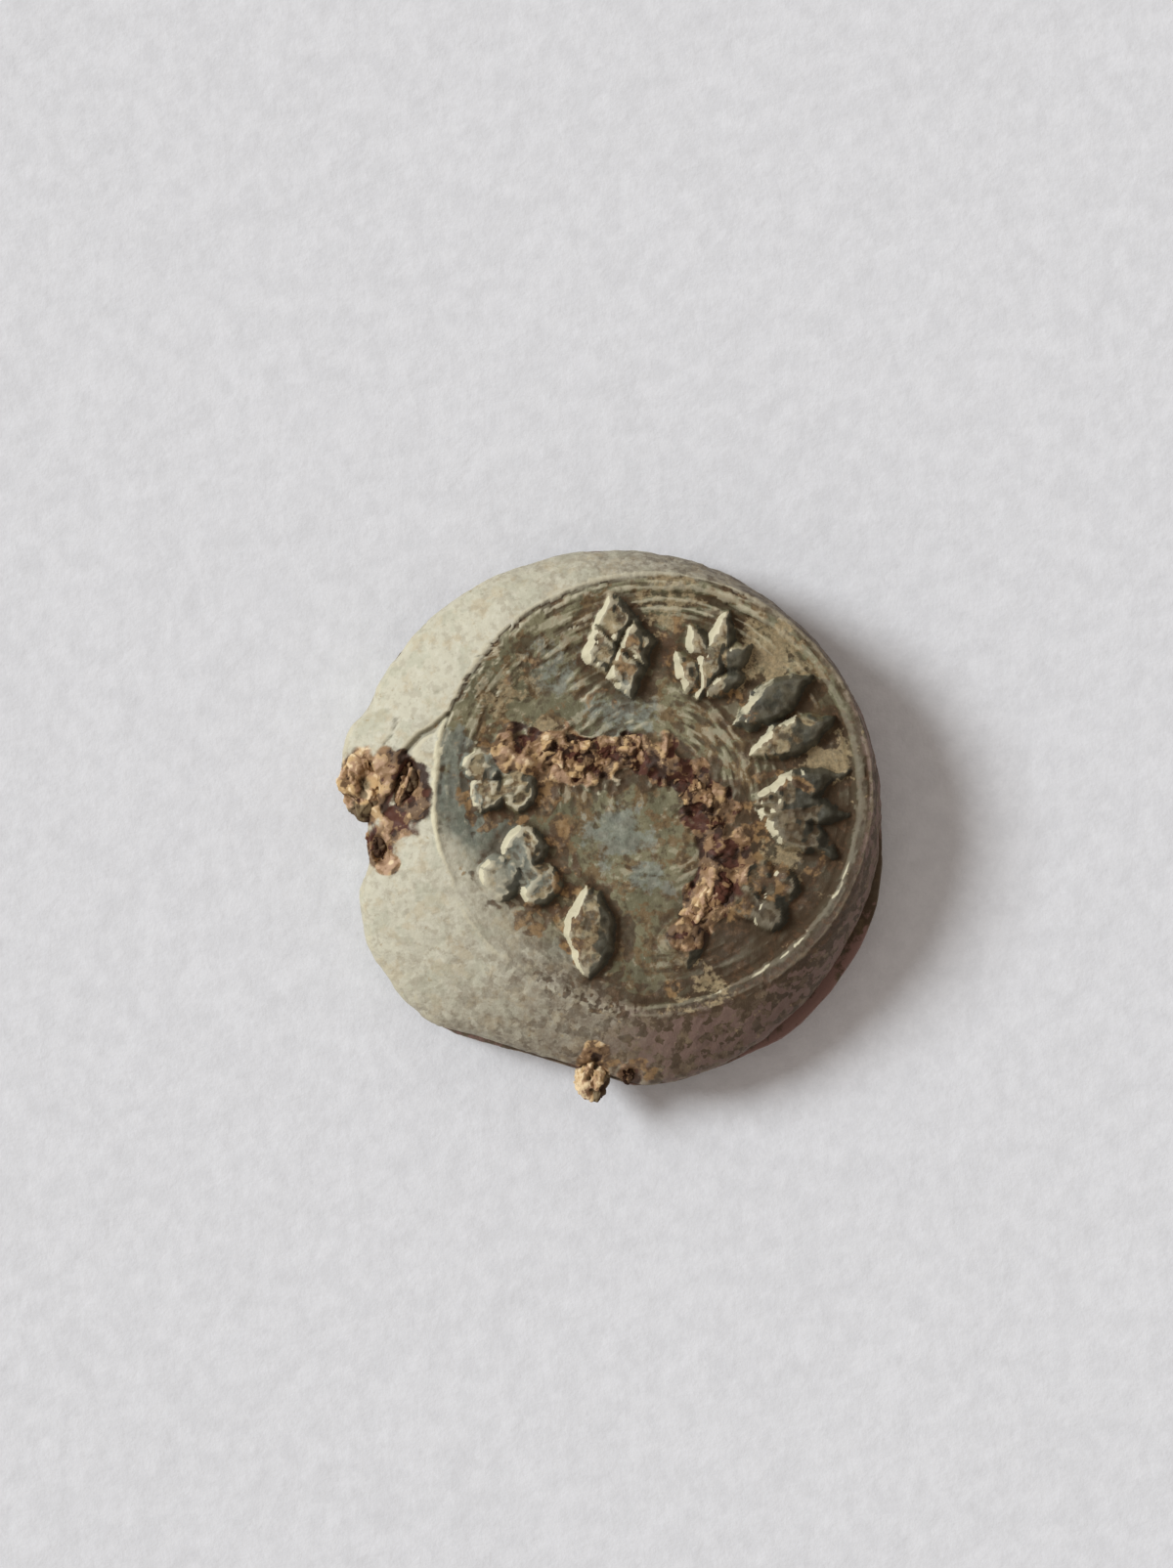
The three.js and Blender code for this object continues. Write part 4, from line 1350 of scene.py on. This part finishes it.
def rustFinish(name, darker):
    finish = Finish(name)
    crumb = finish.mask("crumb") - darker
    # painted shade on the side away from the light and in the dents
    shaded = finish.ragged("shaded", (finish.grain(0.5, 3, 0.6) - 0.5) * 0.6, 0.3, 0.7)
    under = finish.blend(finish.band(crumb, 0.3, 0.8), "rustDark", "rustOlive")
    colour = finish.blend(shaded * 0.85, rustColour(finish, crumb), under)
    height = finish.grain(0.12, 3, 0.6, 0.2) + finish.cells(0.18) * 0.3
    rough = 0.86 + finish.grain(0.4) * 0.12
    return finish.shade(colour, rough, finish.bump(height, 0.05, 0.6), 0.25)


# Floor, light and camera
stageLook = {
    "floorSide": 3.0,  # metres
    "floorGap": 0.02,  # so that the floor and the seal's back don't share a plane
    "ambient": 0.41,
    "ambientTint": (1.1, 1.0, 0.93, 1.0),
    "keyStrength": 3.0,
    "keyTint": (0.95, 1.0, 1.04),
    "keyAzimuth": 160,  # degrees round from +X to where the light comes from
    "keyElevation": 39,
    "keySoftness": 23,
    "camera": (-1.12, 1.37, 300),
    "tall": 64.4,  # height of the frame at the seal
    "seen": 2.4,  # height over the floor at which that is measured
}


def addObject(name, data):
    made = bpy.data.objects.new(name, data)
    bpy.context.scene.collection.objects.link(made)
    return made


def buildStage():
    look = stageLook
    bm = bmesh.new()
    bmesh.ops.create_grid(bm, x_segments=8, y_segments=8, size=look["floorSide"] / 2)
    bmesh.ops.translate(bm, vec=(0, 0, -look["floorGap"] * mm), verts=bm.verts)
    floor = addObject("paper", meshOf("paper", bm))
    finish = Finish("paper")
    fibre = finish.grain(0.8, 5, 0.65) + finish.grain(3.5, 3, 0.5, 0.4) * 1.5
    colour = finish.blend(finish.spots((0.9, 5, 0.7, 0.7), 0.3, 0.7), "paper", "paperPale")
    floor.data.materials.append(finish.shade(colour, 0.9, finish.bump(fibre, 0.07, 0.7), 0.1))

    sun = bpy.data.lights.new("window", "SUN")
    sun.energy = look["keyStrength"]
    sun.color = look["keyTint"]
    sun.angle = math.radians(look["keySoftness"])
    tip = math.radians(90 - look["keyElevation"])
    addObject("window", sun).rotation_euler = (0, tip, math.radians(look["keyAzimuth"]))

    world = bpy.data.worlds.new("room")
    world.use_nodes = True
    back = world.node_tree.nodes["Background"]
    back.inputs["Color"].default_value = look["ambientTint"]
    back.inputs["Strength"].default_value = look["ambient"]
    bpy.context.scene.world = world

    view = bpy.data.cameras.new("above")
    view.sensor_fit = "VERTICAL"
    distance = look["camera"][2] - look["seen"]
    view.angle_y = 2 * math.atan(look["tall"] / 2 / distance)
    view.clip_start = 0.01
    camera = addObject("above", view)
    camera.location = [value * mm for value in look["camera"]]
    bpy.context.scene.camera = camera
    bpy.context.scene.view_settings.view_transform = "Standard"
    print("stage: floor, window and camera")


buildStage()
buildFrontDisc()
buildBackDisc()
tanRust = rustFinish("tanRust", 0.0)
darkRust = rustFinish("darkRust", 0.2)
iron = rustFinish("corrodedIron", 0.15)
# the inner lump, low in its hollow, and the bottom flake take the darker rust: painted shade with
# darker rust
for seed, (node, look) in enumerate(lumps.items(), 1):
    isDark = node in ("rust_lump_left_inner", "rust_flake_bottom")
    buildLump(node, look, seed, *((darkRust, "dark_rust") if isDark else (tanRust, "rust")))
for seed, (node, span) in enumerate(bursts.items(), 6):
    buildRidge(node, span, seed, tanRust)
for node, line in (("wire_long_strand", longLine), ("wire_short_strand", shortLine)):
    buildWire(node, line, iron)
